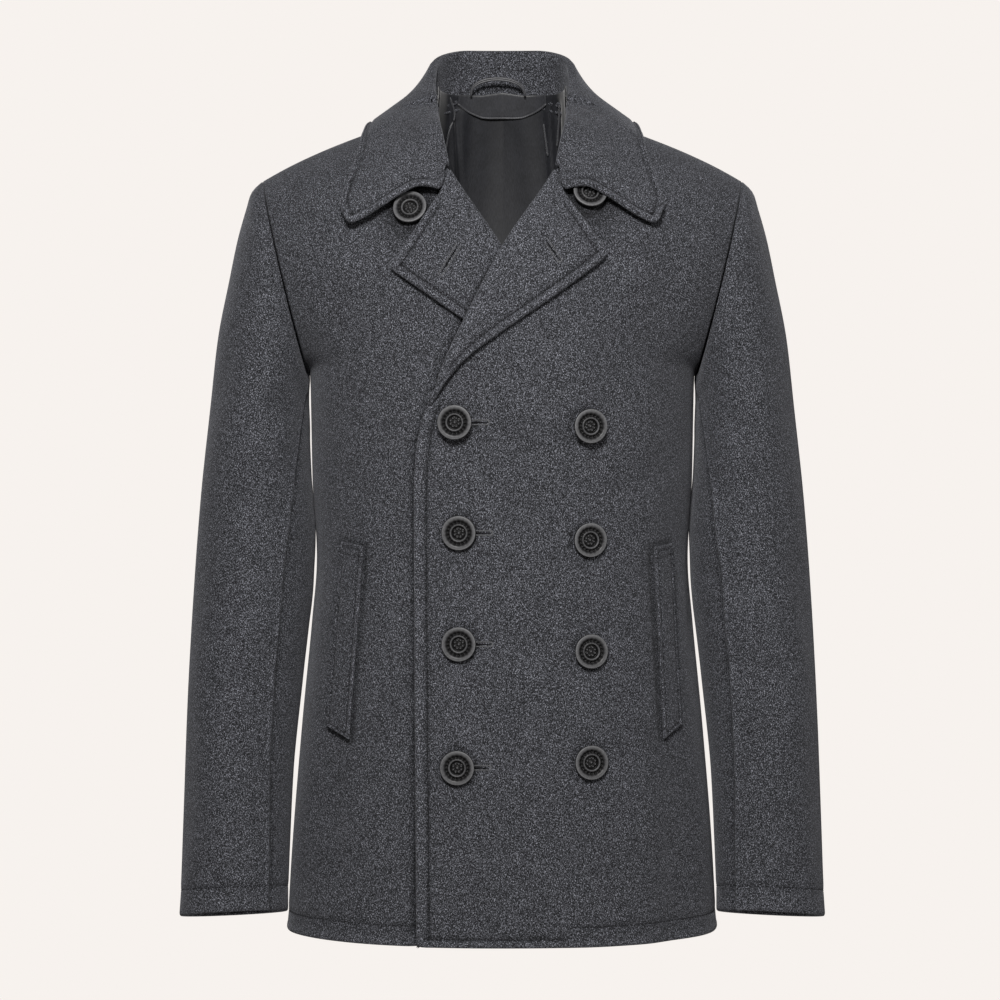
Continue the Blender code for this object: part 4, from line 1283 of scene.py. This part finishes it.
def sleeve_creased(points, angle, side):
    total = np.zeros(angle.shape)
    z = points[..., 2]
    for number, crease in enumerate(SLEEVE_CREASES):
        # The other sleeve's creases are like these, at other heights and of other sizes.
        other = 0.0 if side > 0 else 0.018 * math.sin(2.3 * number + 0.7)
        size = 1.0 if side > 0 else 0.85 + 0.25 * math.sin(1.7 * number)
        lean = math.radians(crease.lean)
        over = np.radians((angle - crease.angle + 180) % 360 - 180) * 0.055
        up = z - crease.z - other
        along = up * math.cos(lean) + over * math.sin(lean)
        aside = over * math.cos(lean) - up * math.sin(lean)
        total += size * crease.depth * hump(aside, crease.width) * hump(along, crease.length * 0.75)
    return total


CUFF_STITCH = 0.0225      # cuff to its stitch row


def add_sleeve(name, side):
    knots = np.arange(len(SLEEVE))
    seams = [ring.front_seam for ring in SLEEVE]
    slack = 0.3
    parts = (
        ("upper", lambda seam: BACK_SEAM - 360 + slack, lambda seam: seam - slack, (side, 0, 0)),
        ("under", lambda seam: seam + slack, lambda seam: BACK_SEAM - slack, (-side, 0, 0)),
    )
    for part, first, last, facing in parts:
        def angles(along, u):
            seam = blend(knots, seams, along)
            return first(seam) + (last(seam) - first(seam)) * u

        def place(v, u):
            along = (len(SLEEVE) - 1) * v
            return sleeve_points(along, angles(along, u), side)

        cuff = hemmed(CUFF_STITCH)
        patch = Patch(place, (EDGE, EDGE), (EDGE, cuff), SPACING)
        angle = angles((len(SLEEVE) - 1) * patch.v, patch.u)
        calm = ramp(np.minimum(patch.left, patch.right), 0.0, 0.014) * 0.7 + 0.3
        calm = calm * ramp(patch.low, 0.01, 0.07) * ramp(patch.high, 0.0, 0.05)
        # The side against the body stays smooth, and rests on it above the elbow.
        inner = hump((angle - 180 + 180) % 360 - 180, 42.0)
        calm = calm * (1 - 0.9 * inner)
        z = patch.points[..., 2]
        rest = 0.0014 * inner * ramp(z, -0.475, -0.430) * ramp(-z, 0.262, 0.300)
        bend = sleeve_creased(patch.points, angle, side) * calm
        # The sleeve head stands up beside the armhole seam.
        head = 0.0016 * hump(patch.low - 0.012, 0.010) * (part == "upper")
        patch.shift(bend + head + rest, facing)
        backing = 0.0016 * (1 - ramp(patch.high, HEM_DEPTH, HEM_DEPTH + 0.002))
        dent = groove(patch.high - CUFF_STITCH, 0.0005) - rolled(patch.high, 0.0005)
        # Beside the front seam: a raised ridge on the upper part, painted paler as a highlight, and a
        # dent on the under part, painted darker as shade.
        if part == "upper":
            dent = dent - 0.0008 * hump(patch.right - 0.0024, 0.0022)
        else:
            dent = dent + 0.0008 * hump(patch.left - 0.0010, 0.0026)
        piece = patch.wall(f"{name}_{part}", MELTON, CLOTH, facing, dent, backing)
        dress(piece, (f"{name}_{part}",))
        THREADS.append(patch.line(row=patch.points.shape[0] - 1 - (len(EDGE) + 2)))


# ---------------------------------------------------------------- welts


def add_welt(name, welt, lifted):
    corners = [np.array(corner) for corner in welt]

    def place(v, u):
        top = corners[0] + (corners[1] - corners[0]) * u[..., None]
        low = corners[3] + (corners[2] - corners[3]) * u[..., None]
        flat = low + (top - low) * v[..., None]
        lift = CLOTH + 0.0009 + (overlap_lift(flat[..., 0], flat[..., 1]) if lifted else 0.0)
        return FRONT.over(flat[..., 0], z=flat[..., 1], lift=lift + np.zeros_like(u))

    edge = EDGE + (0.0046,)
    patch = Patch(place, (edge, edge), (edge, edge), 0.0018)
    near = np.minimum(np.minimum(patch.left, patch.right), np.minimum(patch.low, patch.high))
    # The welt's stitch grooves are painted darker as shade, and the ridge near its edge paler as a
    # highlight.
    dent = groove(near - 0.0034, 0.0010, 0.0012) - 0.0006 * hump(near - 0.0014, 0.0012)
    dent = dent + groove(patch.high - 0.0095, 0.0008, 0.0012)
    dress(patch.wall(name, MELTON, CLOTH, FORWARD, dent, 0.0006, 1.0), (name,))
    column = len(EDGE) - 1
    inside = (patch.low > 0.003) & (patch.high > 0.003)
    for j in (column, patch.points.shape[1] - 1 - column):
        THREADS.append(patch.line(column=j, keep=inside[:, j]))
    across = (patch.left > 0.003) & (patch.right > 0.003)
    for i in (column, patch.points.shape[0] - 1 - column):
        THREADS.append(patch.line(row=i, keep=across[i]))


# ---------------------------------------------------------------- linings and neck


# Folds of the back lining: how far each one is from the middle, its half width and its height.
LINING_FOLDS = (
    (0.045, 0.004, -0.0016),
    (0.060, 0.006, 0.0010),
    (-0.052, 0.004, -0.0016),
    (0.0, 0.006, -0.0010),
    (-0.070, 0.008, 0.0012),
    (0.110, 0.010, -0.0014),
)


def add_linings():
    facing = BACKWARD
    form = back_place(0.5, 0.84, LINING_LIFT, 1.30, NECK_ROW)
    patch = Patch(form, (FEW, FEW), (FEW, FEW), LINING_SPACING)
    middle = patch.left - patch.left[:, -1:] / 2
    folds = sum(
        depth * hump(middle - place, width)
        for place, width, depth in LINING_FOLDS
    )
    patch.shift(folds * ramp(patch.high, 0.0, 0.02), facing)
    dress(patch.wall("lining_back", LINING, SATIN, facing), ("lining_back",))
    for name, side in (("lining_left", 1), ("lining_right", -1)):
        edge = [EdgePoint(point.z, point.x * side) for point in LINING_EDGE]
        patch = front_patch(edge, LINING_SPACING, lowest=0.5, last=0.96, margin=1.10)
        x, z = patch.points[..., 0], patch.points[..., 2]
        lift = LINING_LIFT + (overlap_lift(x, z) if side > 0 else 0.0)
        patch.shift(np.broadcast_to(lift, x.shape), FORWARD)
        dress(patch.wall(name, LINING, SATIN, FORWARD), (name,))


def tube_form(path, radius, sides):
    """Points and faces of a round cord along a path, closed at both ends."""
    path = np.asarray(path, float)
    along = unit(np.gradient(path, axis=0))
    side = unit(np.cross(along, np.array([0.13, 1.0, 0.21])))
    other = np.cross(along, side)
    turns = np.linspace(0, 2 * math.pi, sides, endpoint=False)
    ring = side[:, None] * np.cos(turns)[None, :, None] + other[:, None] * np.sin(turns)[None, :, None]
    thin = np.ones(len(path))
    thin[[0, -1]] = 0.5
    points = (path[:, None] + ring * (radius * thin)[:, None, None]).reshape(-1, 3)
    index = np.arange(len(points)).reshape(len(path), sides)
    after = np.roll(index, -1, axis=1)
    quads = np.stack([index[:-1], after[:-1], after[1:], index[1:]], axis=-1).reshape(-1, 4)
    return points, quads.tolist() + [index[0][::-1].tolist(), index[-1].tolist()]


def cords(name, paths, radius, material, sides=10):
    """Round cords along several paths, as one mesh."""
    points, faces, count = [], [], 0
    for path in paths:
        form, sides_of = tube_form(path, radius, sides)
        points.append(form)
        faces += [[corner + count for corner in face] for face in sides_of]
        count += len(form)
    mesh = bpy.data.meshes.new(name)
    mesh.from_pydata(np.concatenate(points).tolist(), [], faces)
    mesh.materials.append(material)
    mesh.shade_smooth()
    piece = bpy.data.objects.new(name, mesh)
    bpy.context.scene.collection.objects.link(piece)
    return piece


def add_seam_allowances():
    """The seams' turned-in edges, which close the joints between the panels from inside, in a darker
    copy of the wool that paints the shade in those joints.
    """
    inward = 0.0004
    low_rows = FRONT_ROWS[:8]
    paths = []
    for side in (-1, 1):
        turned = np.linspace(0, 180, 61)
        over = [armhole_point(a, -1) for a in turned] + [armhole_point(a, 1) for a in turned[-2::-1]]
        middle = np.array([(ARM_TOP_X + ARM_LOW_X) / 2 - 0.10, 0.0, (ARM_TOP_Z + ARM_LOW_Z) / 2])
        hole = np.array(over)
        hole = hole + unit(middle - hole) * inward * 0.6 + np.array([-inward * 0.4, 0, 0])
        paths.append(hole * (side, 1, 1))
        z = np.linspace(-0.738, -0.254, 80)
        half = blend([row.mid_z for row in low_rows], [row.half or ARM_LOW_X for row in low_rows], z)
        paths.append(np.stack([side * (half - inward), 0 * z, z], axis=-1))
        share = np.linspace(NECK_SHARE * 1.75, 1.0, 40)
        shoulder = FRONT.place(side * share, np.full(40, FRONT.top))
        paths.append(shoulder - np.array([0, 0, inward]))
        along = np.linspace(0.05, 10.96, 120)
        seam = blend(np.arange(len(SLEEVE)), [ring.front_seam for ring in SLEEVE], along)
        for angle in (seam, np.full(120, BACK_SEAM)):
            path = sleeve_points(along, angle, side)
            axis = (sleeve_points(along, angle, side) + sleeve_points(along, angle + 180, side)) / 2
            paths.append(path + unit(axis - path) * inward)
    dress(cords("seam_allowances", paths, 0.0013, SHADED_WOOL, 8))


# Seams of the neck lining, seen from the front: points down each one.
NECK_SEAMS = (
    ((-0.0480, 0.0120), (-0.0440, -0.0030), (-0.0490, -0.0180), (-0.0530, -0.0400)),
    ((0.0385, -0.0110), (0.0400, -0.0220), (0.0425, -0.0400)),
    ((0.0530, 0.0040), (0.0525, -0.0100), (0.0510, -0.0320)),
)


# Folds of the neck lining: x at the neck seam, lean, half width and height.
NECK_FOLDS = (
    (-0.0475, 0.02, 0.0016, 0.0016),
    (-0.0440, 0.05, 0.0022, -0.0014),
    (-0.0350, -0.10, 0.006, 0.0010),
    (0.0480, 0.05, 0.0012, 0.0014),
    (0.0520, 0.02, 0.0020, -0.0014),
    (0.0415, 0.06, 0.0012, 0.0012),
    (0.0200, 0.10, 0.012, 0.0008),
    (-0.0080, -0.06, 0.014, -0.0008),
)


def add_neck():
    """The satin inside the back neck: lining up to the neck seam, and a piece with a piped edge."""
    seam_z = 0.0150
    at = np.linspace(-4.3, 4.3, 151)
    neck, fold = collar_curve("neck", at), collar_curve("fold", at)
    share = (seam_z - neck[:, 2]) / (fold[:, 2] - neck[:, 2])
    wall = neck + (fold - neck) * np.clip(share, 0.06, 0.9)[:, None]
    inside = np.array([0.0, 0.02, seam_z])
    off = 0.0022 + 0.0026 * ramp(np.abs(at), 1.8, 2.8)
    top = wall + unit((inside - wall) * (1, 1, 0)) * off[:, None]
    low_z = -0.172
    foot = BACK.over(top[:, 0] * 1.22, z=np.full(len(at), low_z), lift=LINING_LIFT - 0.0016)

    def hang(u, v, out=0.0):
        """A point of the neck lining: u along the seam (0 to 1), v up it (0 to 1)."""
        t = np.linspace(0, 1, len(at))
        high = np.stack([np.interp(u, t, top[:, k]) for k in range(3)], axis=-1)
        low = np.stack([np.interp(u, t, foot[:, k]) for k in range(3)], axis=-1)
        full = low + (high - low) * v[..., None]
        full[..., 1] += 0.0040 * v * (1 - v) * 4 - out
        return full

    patch = Patch(lambda v, u: hang(u, v), (FEW, FEW), (FEW, FEW), 0.0024)
    x = patch.points[..., 0]
    folds = sum(
        depth * hump(x - at_x - lean * patch.high, width)
        for at_x, lean, width, depth in NECK_FOLDS
    )
    patch.shift(-1.7 * folds * ramp(patch.high, 0.002, 0.016), BACKWARD)
    dress(patch.wall("lining_neck", LINING, SATIN, FORWARD))
    # The piece with the piped edge hangs from the neck seam, over the lining.
    wide, low, end_low = 0.0405, -0.0075, 0.0040
    span = np.linspace(-wide, wide, 81)
    knots = (0.0, 0.0150, 0.0280, 0.0360, wide)
    depths = (low, low + 0.0020, low + 0.0065, end_low - 0.0004, end_low + 0.0030)
    bottom_z = blend(knots, depths, np.abs(span))
    reach = np.interp(span, top[:, 0], np.linspace(0, 1, len(at)))

    def crescent(v, u):
        here = np.interp(u, np.linspace(0, 1, len(span)), reach)
        bottom = np.interp(u, np.linspace(0, 1, len(span)), bottom_z)
        z = bottom + (seam_z + 0.0004 - bottom) * v
        return hang(here, (z - low_z) / (seam_z - low_z), 0.0022)

    yoke = Patch(crescent, (FEW, FEW), (FEW, FEW), 0.0018)
    piece = yoke.wall("neck_facing", FACING, SATIN, FORWARD)
    dress(piece, ("neck_facing",))
    u = np.linspace(0, 1, 90)
    edge = crescent(np.zeros(90), u) + np.array([0, -0.0006, 0])
    dress(cords("facing_piping", [edge], 0.0010, PIPING))
    # Seams at the sides, where the neck lining meets the front facings.
    lines = []
    for seam in NECK_SEAMS:
        knot = np.arange(len(seam))
        along = np.linspace(0, len(seam) - 1, 40)
        x, z = (blend(knot, [point[k] for point in seam], along) for k in (0, 1))
        v = (z - low_z) / (seam_z - low_z)
        share = np.array([
            np.interp(at_x, foot[:, 0] + (top[:, 0] - foot[:, 0]) * at_v, np.linspace(0, 1, len(at)))
            for at_x, at_v in zip(x, v)
        ])
        lines.append(hang(share, v, 0.0028))
    dress(cords("neck_seams", lines, 0.0008, PIPING))
    turned = np.linspace(0, math.pi, 49)
    x = LOOP_MIDDLE_X - LOOP_WIDTH / 2 * np.cos(turned)
    height = np.sin(turned) ** 0.8
    path = np.stack([x, 0.0762 - 0.0050 * height - 2.2 * x * x, 0.0150 + LOOP_HEIGHT * height], axis=-1)
    beside = path + np.array([0.0, 0.0004, -0.0016])
    loop = cords("hanger_loop_cord", [path, beside], 0.0011, PIPING, 12)
    dress(loop, ("hanger_loop",))


# ---------------------------------------------------------------- buttons

BEADS = 8
PITS = 18
PIT_RING = 0.0093


def dots(r, turned, count, ring, size):
    """A ring of round dots on the button's face: 1 in the middle of each, 0 away from them."""
    total = np.zeros(np.shape(r))
    for k in range(count):
        a = 2 * math.pi * (k + 0.5) / count
        away = np.hypot(r * np.cos(turned) - ring * math.cos(a), r * np.sin(turned) - ring * math.sin(a))
        total = total + hump(away, size)
    return np.minimum(total, 1.0)


def beads(r, turned):
    return np.minimum(hump(r, 0.0012) + dots(r, turned, BEADS, 0.0037, 0.0009), 1.0)


def button_height(r, turned):
    """The button's face: a smooth rim, a ring of pits, a raised ring and a beaded sunk middle."""
    s = r / BUTTON_RADIUS
    knots = (0.0, 0.39, 0.43, 0.49, 0.54, 0.58, 0.68, 0.72, 0.84, 0.96, 1.0)
    heights = (0.0006, 0.0006, 0.0030, 0.0036, 0.0033, 0.0031, 0.0031, 0.0034, 0.0040, 0.0039, 0.0024)
    face = blend(knots, heights, s)
    return face + beads(r, turned) * 0.0017 - dots(r, turned, PITS, PIT_RING, 0.0012) * 0.0018


def button_relief_shade(r, turned):
    """How pale the face is painted: 1 where it stands up (painted highlight), and 0 in its pits and its
    sunk middle (painted shade).
    """
    s = r / BUTTON_RADIUS
    relief_shade = blend((0.0, 0.40, 0.44, 0.52, 0.56, 0.68, 0.72, 0.92, 0.96, 1.0),
                 (0.0, 0.0, 1.0, 1.0, 0.62, 0.62, 0.72, 0.82, 1.0, 0.0), s)
    relief_shade = relief_shade * (1 - dots(r, turned, PITS, PIT_RING, 0.0014) ** 0.4)
    return np.maximum(relief_shade, beads(r, turned) * 0.9)


def button_mesh():
    sides = 104
    turned = np.linspace(0, 2 * math.pi, sides, endpoint=False)
    radii = np.concatenate([np.linspace(0.0004, 0.97, 46), [0.985, 0.995, 1.0]]) * BUTTON_RADIUS
    r, a = np.meshgrid(radii, turned, indexing="ij")
    face = np.stack([r * np.cos(a), r * np.sin(a), button_height(r, a)], axis=-1)
    under = [(1.0, 0.0018), (0.97, 0.0008), (0.90, 0.0002), (0.30, 0.0), (0.02, 0.0)]
    back = np.array([
        [(s * BUTTON_RADIUS * math.cos(t), s * BUTTON_RADIUS * math.sin(t), h) for t in turned]
        for s, h in under
    ])
    rings = np.concatenate([face, back])
    index = np.arange(rings.shape[0] * sides).reshape(-1, sides)
    nxt = np.roll(index, -1, axis=1)
    quads = np.stack([index[:-1], index[1:], nxt[1:], nxt[:-1]], axis=-1).reshape(-1, 4)
    mesh = bpy.data.meshes.new("button")
    caps = [index[0].tolist(), index[-1][::-1].tolist()]
    mesh.from_pydata(rings.reshape(-1, 3).tolist(), [], quads.tolist() + caps)
    mesh.materials.append(PLASTIC)
    mesh.shade_smooth()
    relief_shade = mesh.attributes.new("relief_shade", "FLOAT", "POINT")
    # The back of the button is painted black, as the shade under it.
    under_shade = np.full(len(under) * sides, -0.2)
    relief_shade.data.foreach_set("value", np.concatenate([button_relief_shade(r, a).ravel(), under_shade]))
    return mesh


def add_buttons():
    mesh = button_mesh()
    rim = np.radians(np.arange(0, 360, 30))
    for name, (x, z) in BUTTONS.items():
        rim_x, rim_z = x + BUTTON_RADIUS * np.cos(rim), z + BUTTON_RADIUS * np.sin(rim)
        under = 0.0 if name == "button_collar_right" else overlap_lift(rim_x, rim_z).max()
        foot = FRONT.over(x, z=z, lift=under + CLOTH / 2 + 0.0010)
        out = Vector(FRONT.over(x, z=z, lift=1.0) - FRONT.over(x, z=z))
        turn = out.to_track_quat("Z", "Y").to_matrix().to_4x4()
        own = mesh.copy()
        own.transform(turn)
        own.transform(Matrix.Translation(foot))
        piece = bpy.data.objects.new(f"{name}_face", own)
        bpy.context.scene.collection.objects.link(piece)
        dress(piece, (name,))


# ---------------------------------------------------------------- sewing

STITCH_LENGTH, STITCH_STEP, STITCH_RADIUS = 0.0026, 0.0036, 0.00034


def stitch_form():
    """One stitch along X: a short thread that dives in at both ends. Points and faces."""
    sides = 6
    rings = ((-0.42, 0.72, -0.25), (-0.20, 1.0, 0.0), (0.20, 1.0, 0.0), (0.42, 0.72, -0.25))
    turned = np.arange(sides) * 2 * math.pi / sides
    points = [(-0.5, 0.0, -0.9)]
    for along, wide, deep in rings:
        points += [(along, wide * math.cos(a), wide * math.sin(a) + deep) for a in turned]
    points.append((0.5, 0.0, -0.9))
    faces = []
    last = len(points) - 1
    for j in range(sides):
        k = (j + 1) % sides
        faces.append((0, 1 + k, 1 + j, 1 + j))
        for i in range(len(rings) - 1):
            low, high = 1 + i * sides, 1 + (i + 1) * sides
            faces.append((low + j, low + k, high + k, high + j))
        low = 1 + (len(rings) - 1) * sides
        faces.append((last, low + j, low + k, low + k))
    return np.array(points), np.array(faces)


def sew(name, places, along, out, length, radius, material):
    """Many stitches as one joined mesh."""
    form, faces = stitch_form()
    aside = unit(np.cross(out, along))
    points = (
        places[:, None]
        + along[:, None] * (form[None, :, :1] * length)
        + aside[:, None] * (form[None, :, 1:2] * radius)
        + out[:, None] * (form[None, :, 2:] * radius)
    )
    index = faces[None] + (np.arange(len(places)) * len(form))[:, None, None]
    mesh = bpy.data.meshes.new(name)
    clean = [list(dict.fromkeys(face)) for face in index.reshape(-1, 4).tolist()]
    mesh.from_pydata(points.reshape(-1, 3).tolist(), [], clean)
    mesh.materials.append(material)
    mesh.shade_smooth()
    piece = bpy.data.objects.new(name, mesh)
    bpy.context.scene.collection.objects.link(piece)
    dress(piece)
    return piece


def add_topstitching():
    places, along, out = [], [], []
    for points, normals in THREADS:
        if len(points) < 3:
            continue
        run = running(points[None], 1)[0]
        count = int(run[-1] / STITCH_STEP)
        at = (np.arange(count) + 0.5) * run[-1] / count
        places.append(np.stack([np.interp(at, run, points[:, k]) for k in range(3)], axis=-1))
        tangent = np.gradient(points, run, axis=0)
        along.append(unit(np.stack([np.interp(at, run, tangent[:, k]) for k in range(3)], axis=-1)))
        out.append(unit(np.stack([np.interp(at, run, normals[:, k]) for k in range(3)], axis=-1)))
    places, along, out = (np.concatenate(lists) for lists in (places, along, out))
    sew("topstitching", places + out * 0.0001, along, out, STITCH_LENGTH, STITCH_RADIUS, THREAD)


# Buttonholes, seen from the front: the button's end, the other end, and what they lie on.
Buttonhole = namedtuple("Buttonhole", "start end lift lifted")
LEFT_LAPEL_TOP = ON_CLOTH + DOUBLE / 2
BUTTONHOLES = (
    *(Buttonhole((x - 0.002, z), (x + 0.0262, z), CLOTH / 2, True)
      for name, (x, z) in BUTTONS.items() if name.startswith("button_right")),
    Buttonhole((-0.0370, -0.1430), (-0.0517, -0.1677), LEFT_LAPEL_TOP, False),
    Buttonhole((0.0345, -0.1400), (0.0471, -0.1583), LEFT_LAPEL_TOP, True),
)


def add_buttonholes():
    """A slit with close purl stitches round it, and an eye at its far end on the front edge. The slit is
    a near-black strip laid on the cloth, painted shade for its opening.
    """
    places, along, slits = [], [], []
    for hole in BUTTONHOLES:
        start, end = np.array(hole.start), np.array(hole.end)
        length = np.linalg.norm(end - start)
        ahead = (end - start) / length
        aside = np.array([-ahead[1], ahead[0]])
        steps = np.arange(0, length, 0.0011)
        half = 0.00190
        flat = [start + ahead * step + aside * side * half for step in steps for side in (-1, 1)]
        ways = [aside * side for _ in steps for side in (-1, 1)]
        for turn in np.radians(np.arange(-80, 81, 20)):
            way = ahead * math.cos(turn) + aside * math.sin(turn)
            flat.append(end + way * half)
            ways.append(way)
        flat, ways = np.array(flat), np.array(ways)
        lift = hole.lift + overlap_lift(flat[:, 0], flat[:, 1]) * hole.lifted
        middle = FRONT.over(flat[:, 0], z=flat[:, 1], lift=lift)
        ahead_of = flat + ways * 0.0005
        places.append(middle)
        along.append(unit(FRONT.over(ahead_of[:, 0], z=ahead_of[:, 1], lift=lift) - middle))
        slits.append((start, end, aside, hole))
    places, along = np.concatenate(places), np.concatenate(along)
    row = FRONT.row_at(places[:, 0], z=places[:, 2])
    out = FRONT.normal(FRONT.share(places[:, 0], row), row)
    sew("buttonholes", places, along, out, 0.0014, 0.00050, PURL)
    for number, (start, end, aside, hole) in enumerate(slits):
        t = np.linspace(0, 1, 24)
        wide = 0.0005 * np.sin(np.pi * np.clip(t, 0.02, 0.98)) ** 0.4
        middle = start + (end - start) * t[:, None]
        flat = np.stack([middle - aside * wide[:, None], middle, middle + aside * wide[:, None]], axis=1)
        lift = hole.lift + overlap_lift(flat[..., 0], flat[..., 1]) * hole.lifted
        top = FRONT.over(flat[..., 0], z=flat[..., 1], lift=lift + 0.00045)
        low = FRONT.over(flat[..., 0], z=flat[..., 1], lift=lift - 0.0003)
        rows, count = top.shape[:2]
        index = np.arange(rows * count).reshape(rows, count)
        faces = quads_of(index)
        ring = np.concatenate([index[:, 0], index[-1, 1:], index[::-1, -1][1:], index[0, ::-1][1:-1]])
        after = np.roll(ring, -1)
        sides = np.stack([ring, after, after + rows * count, ring + rows * count], axis=-1)
        faces = np.concatenate([faces, faces[:, ::-1] + rows * count, sides])
        points = np.concatenate([top.reshape(-1, 3), low.reshape(-1, 3)])
        dress(solid(f"buttonhole_slit_shade_{number + 1}", points, faces, SLIT_SHADE))


# ---------------------------------------------------------------- all together

# The cut of each piece of cloth that shows: its width and length, its area, how it is held and
# what it is sewn to or lies on.
Cut = namedtuple("Cut", "width length area held rests_on")
CUTS = {
    "front_left": Cut(0.345, 0.852, 0.219, "draped", ("back", "front_right")),
    "front_right": Cut(0.374, 0.866, 0.231, "draped", ("back",)),
    "back": Cut(0.542, 0.795, 0.346, "draped", ("front_left", "front_right")),
    "lapel_left": Cut(0.097, 0.243, 0.0099, "folded", ("front_left",)),
    "lapel_right": Cut(0.107, 0.221, 0.0113, "folded", ("front_right",)),
    "collar": Cut(0.733, 0.144, 0.0692, "folded", ("back", "front_left", "front_right")),
    "sleeve_left_upper": Cut(0.405, 0.669, 0.1422, "draped", ("front_left", "back")),
    "sleeve_left_under": Cut(0.122, 0.543, 0.0519, "draped", ("front_left", "back")),
    "sleeve_right_upper": Cut(0.405, 0.669, 0.1422, "draped", ("front_right", "back")),
    "sleeve_right_under": Cut(0.122, 0.543, 0.0519, "draped", ("front_right", "back")),
    "welt_left": Cut(0.029, 0.168, 0.0044, "laid", ("front_left",)),
    "welt_right": Cut(0.030, 0.169, 0.0046, "laid", ("front_right",)),
    "lining_back": Cut(0.422, 0.683, 0.2542, "draped", ("back",)),
    "lining_left": Cut(0.149, 0.767, 0.0816, "draped", ("front_left",)),
    "lining_right": Cut(0.149, 0.762, 0.0810, "draped", ("front_right",)),
    "lining_neck": Cut(0.215, 0.210, 0.0340, "draped", ("back",)),
    "neck_facing": Cut(0.092, 0.024, 0.0016, "laid", ("back",)),
}


def declare_sheets():
    for name, cut in CUTS.items():
        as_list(cut.rests_on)


def main():
    add_camera()
    add_studio()
    add_front("front_left", LEFT_EDGE, True)
    add_front("front_right", RIGHT_EDGE, False)
    add_back()
    add_lapel("lapel_left", LEFT_LAPEL, LEFT_EDGE, True)
    add_lapel("lapel_right", RIGHT_LAPEL, RIGHT_EDGE, False)
    add_collar()
    add_sleeve("sleeve_left", 1)
    add_sleeve("sleeve_right", -1)
    add_welt("welt_left", LEFT_WELT, True)
    add_welt("welt_right", RIGHT_WELT, False)
    add_linings()
    add_neck()
    add_seam_allowances()
    add_buttons()
    add_topstitching()
    add_buttonholes()
    declare_sheets()


main()
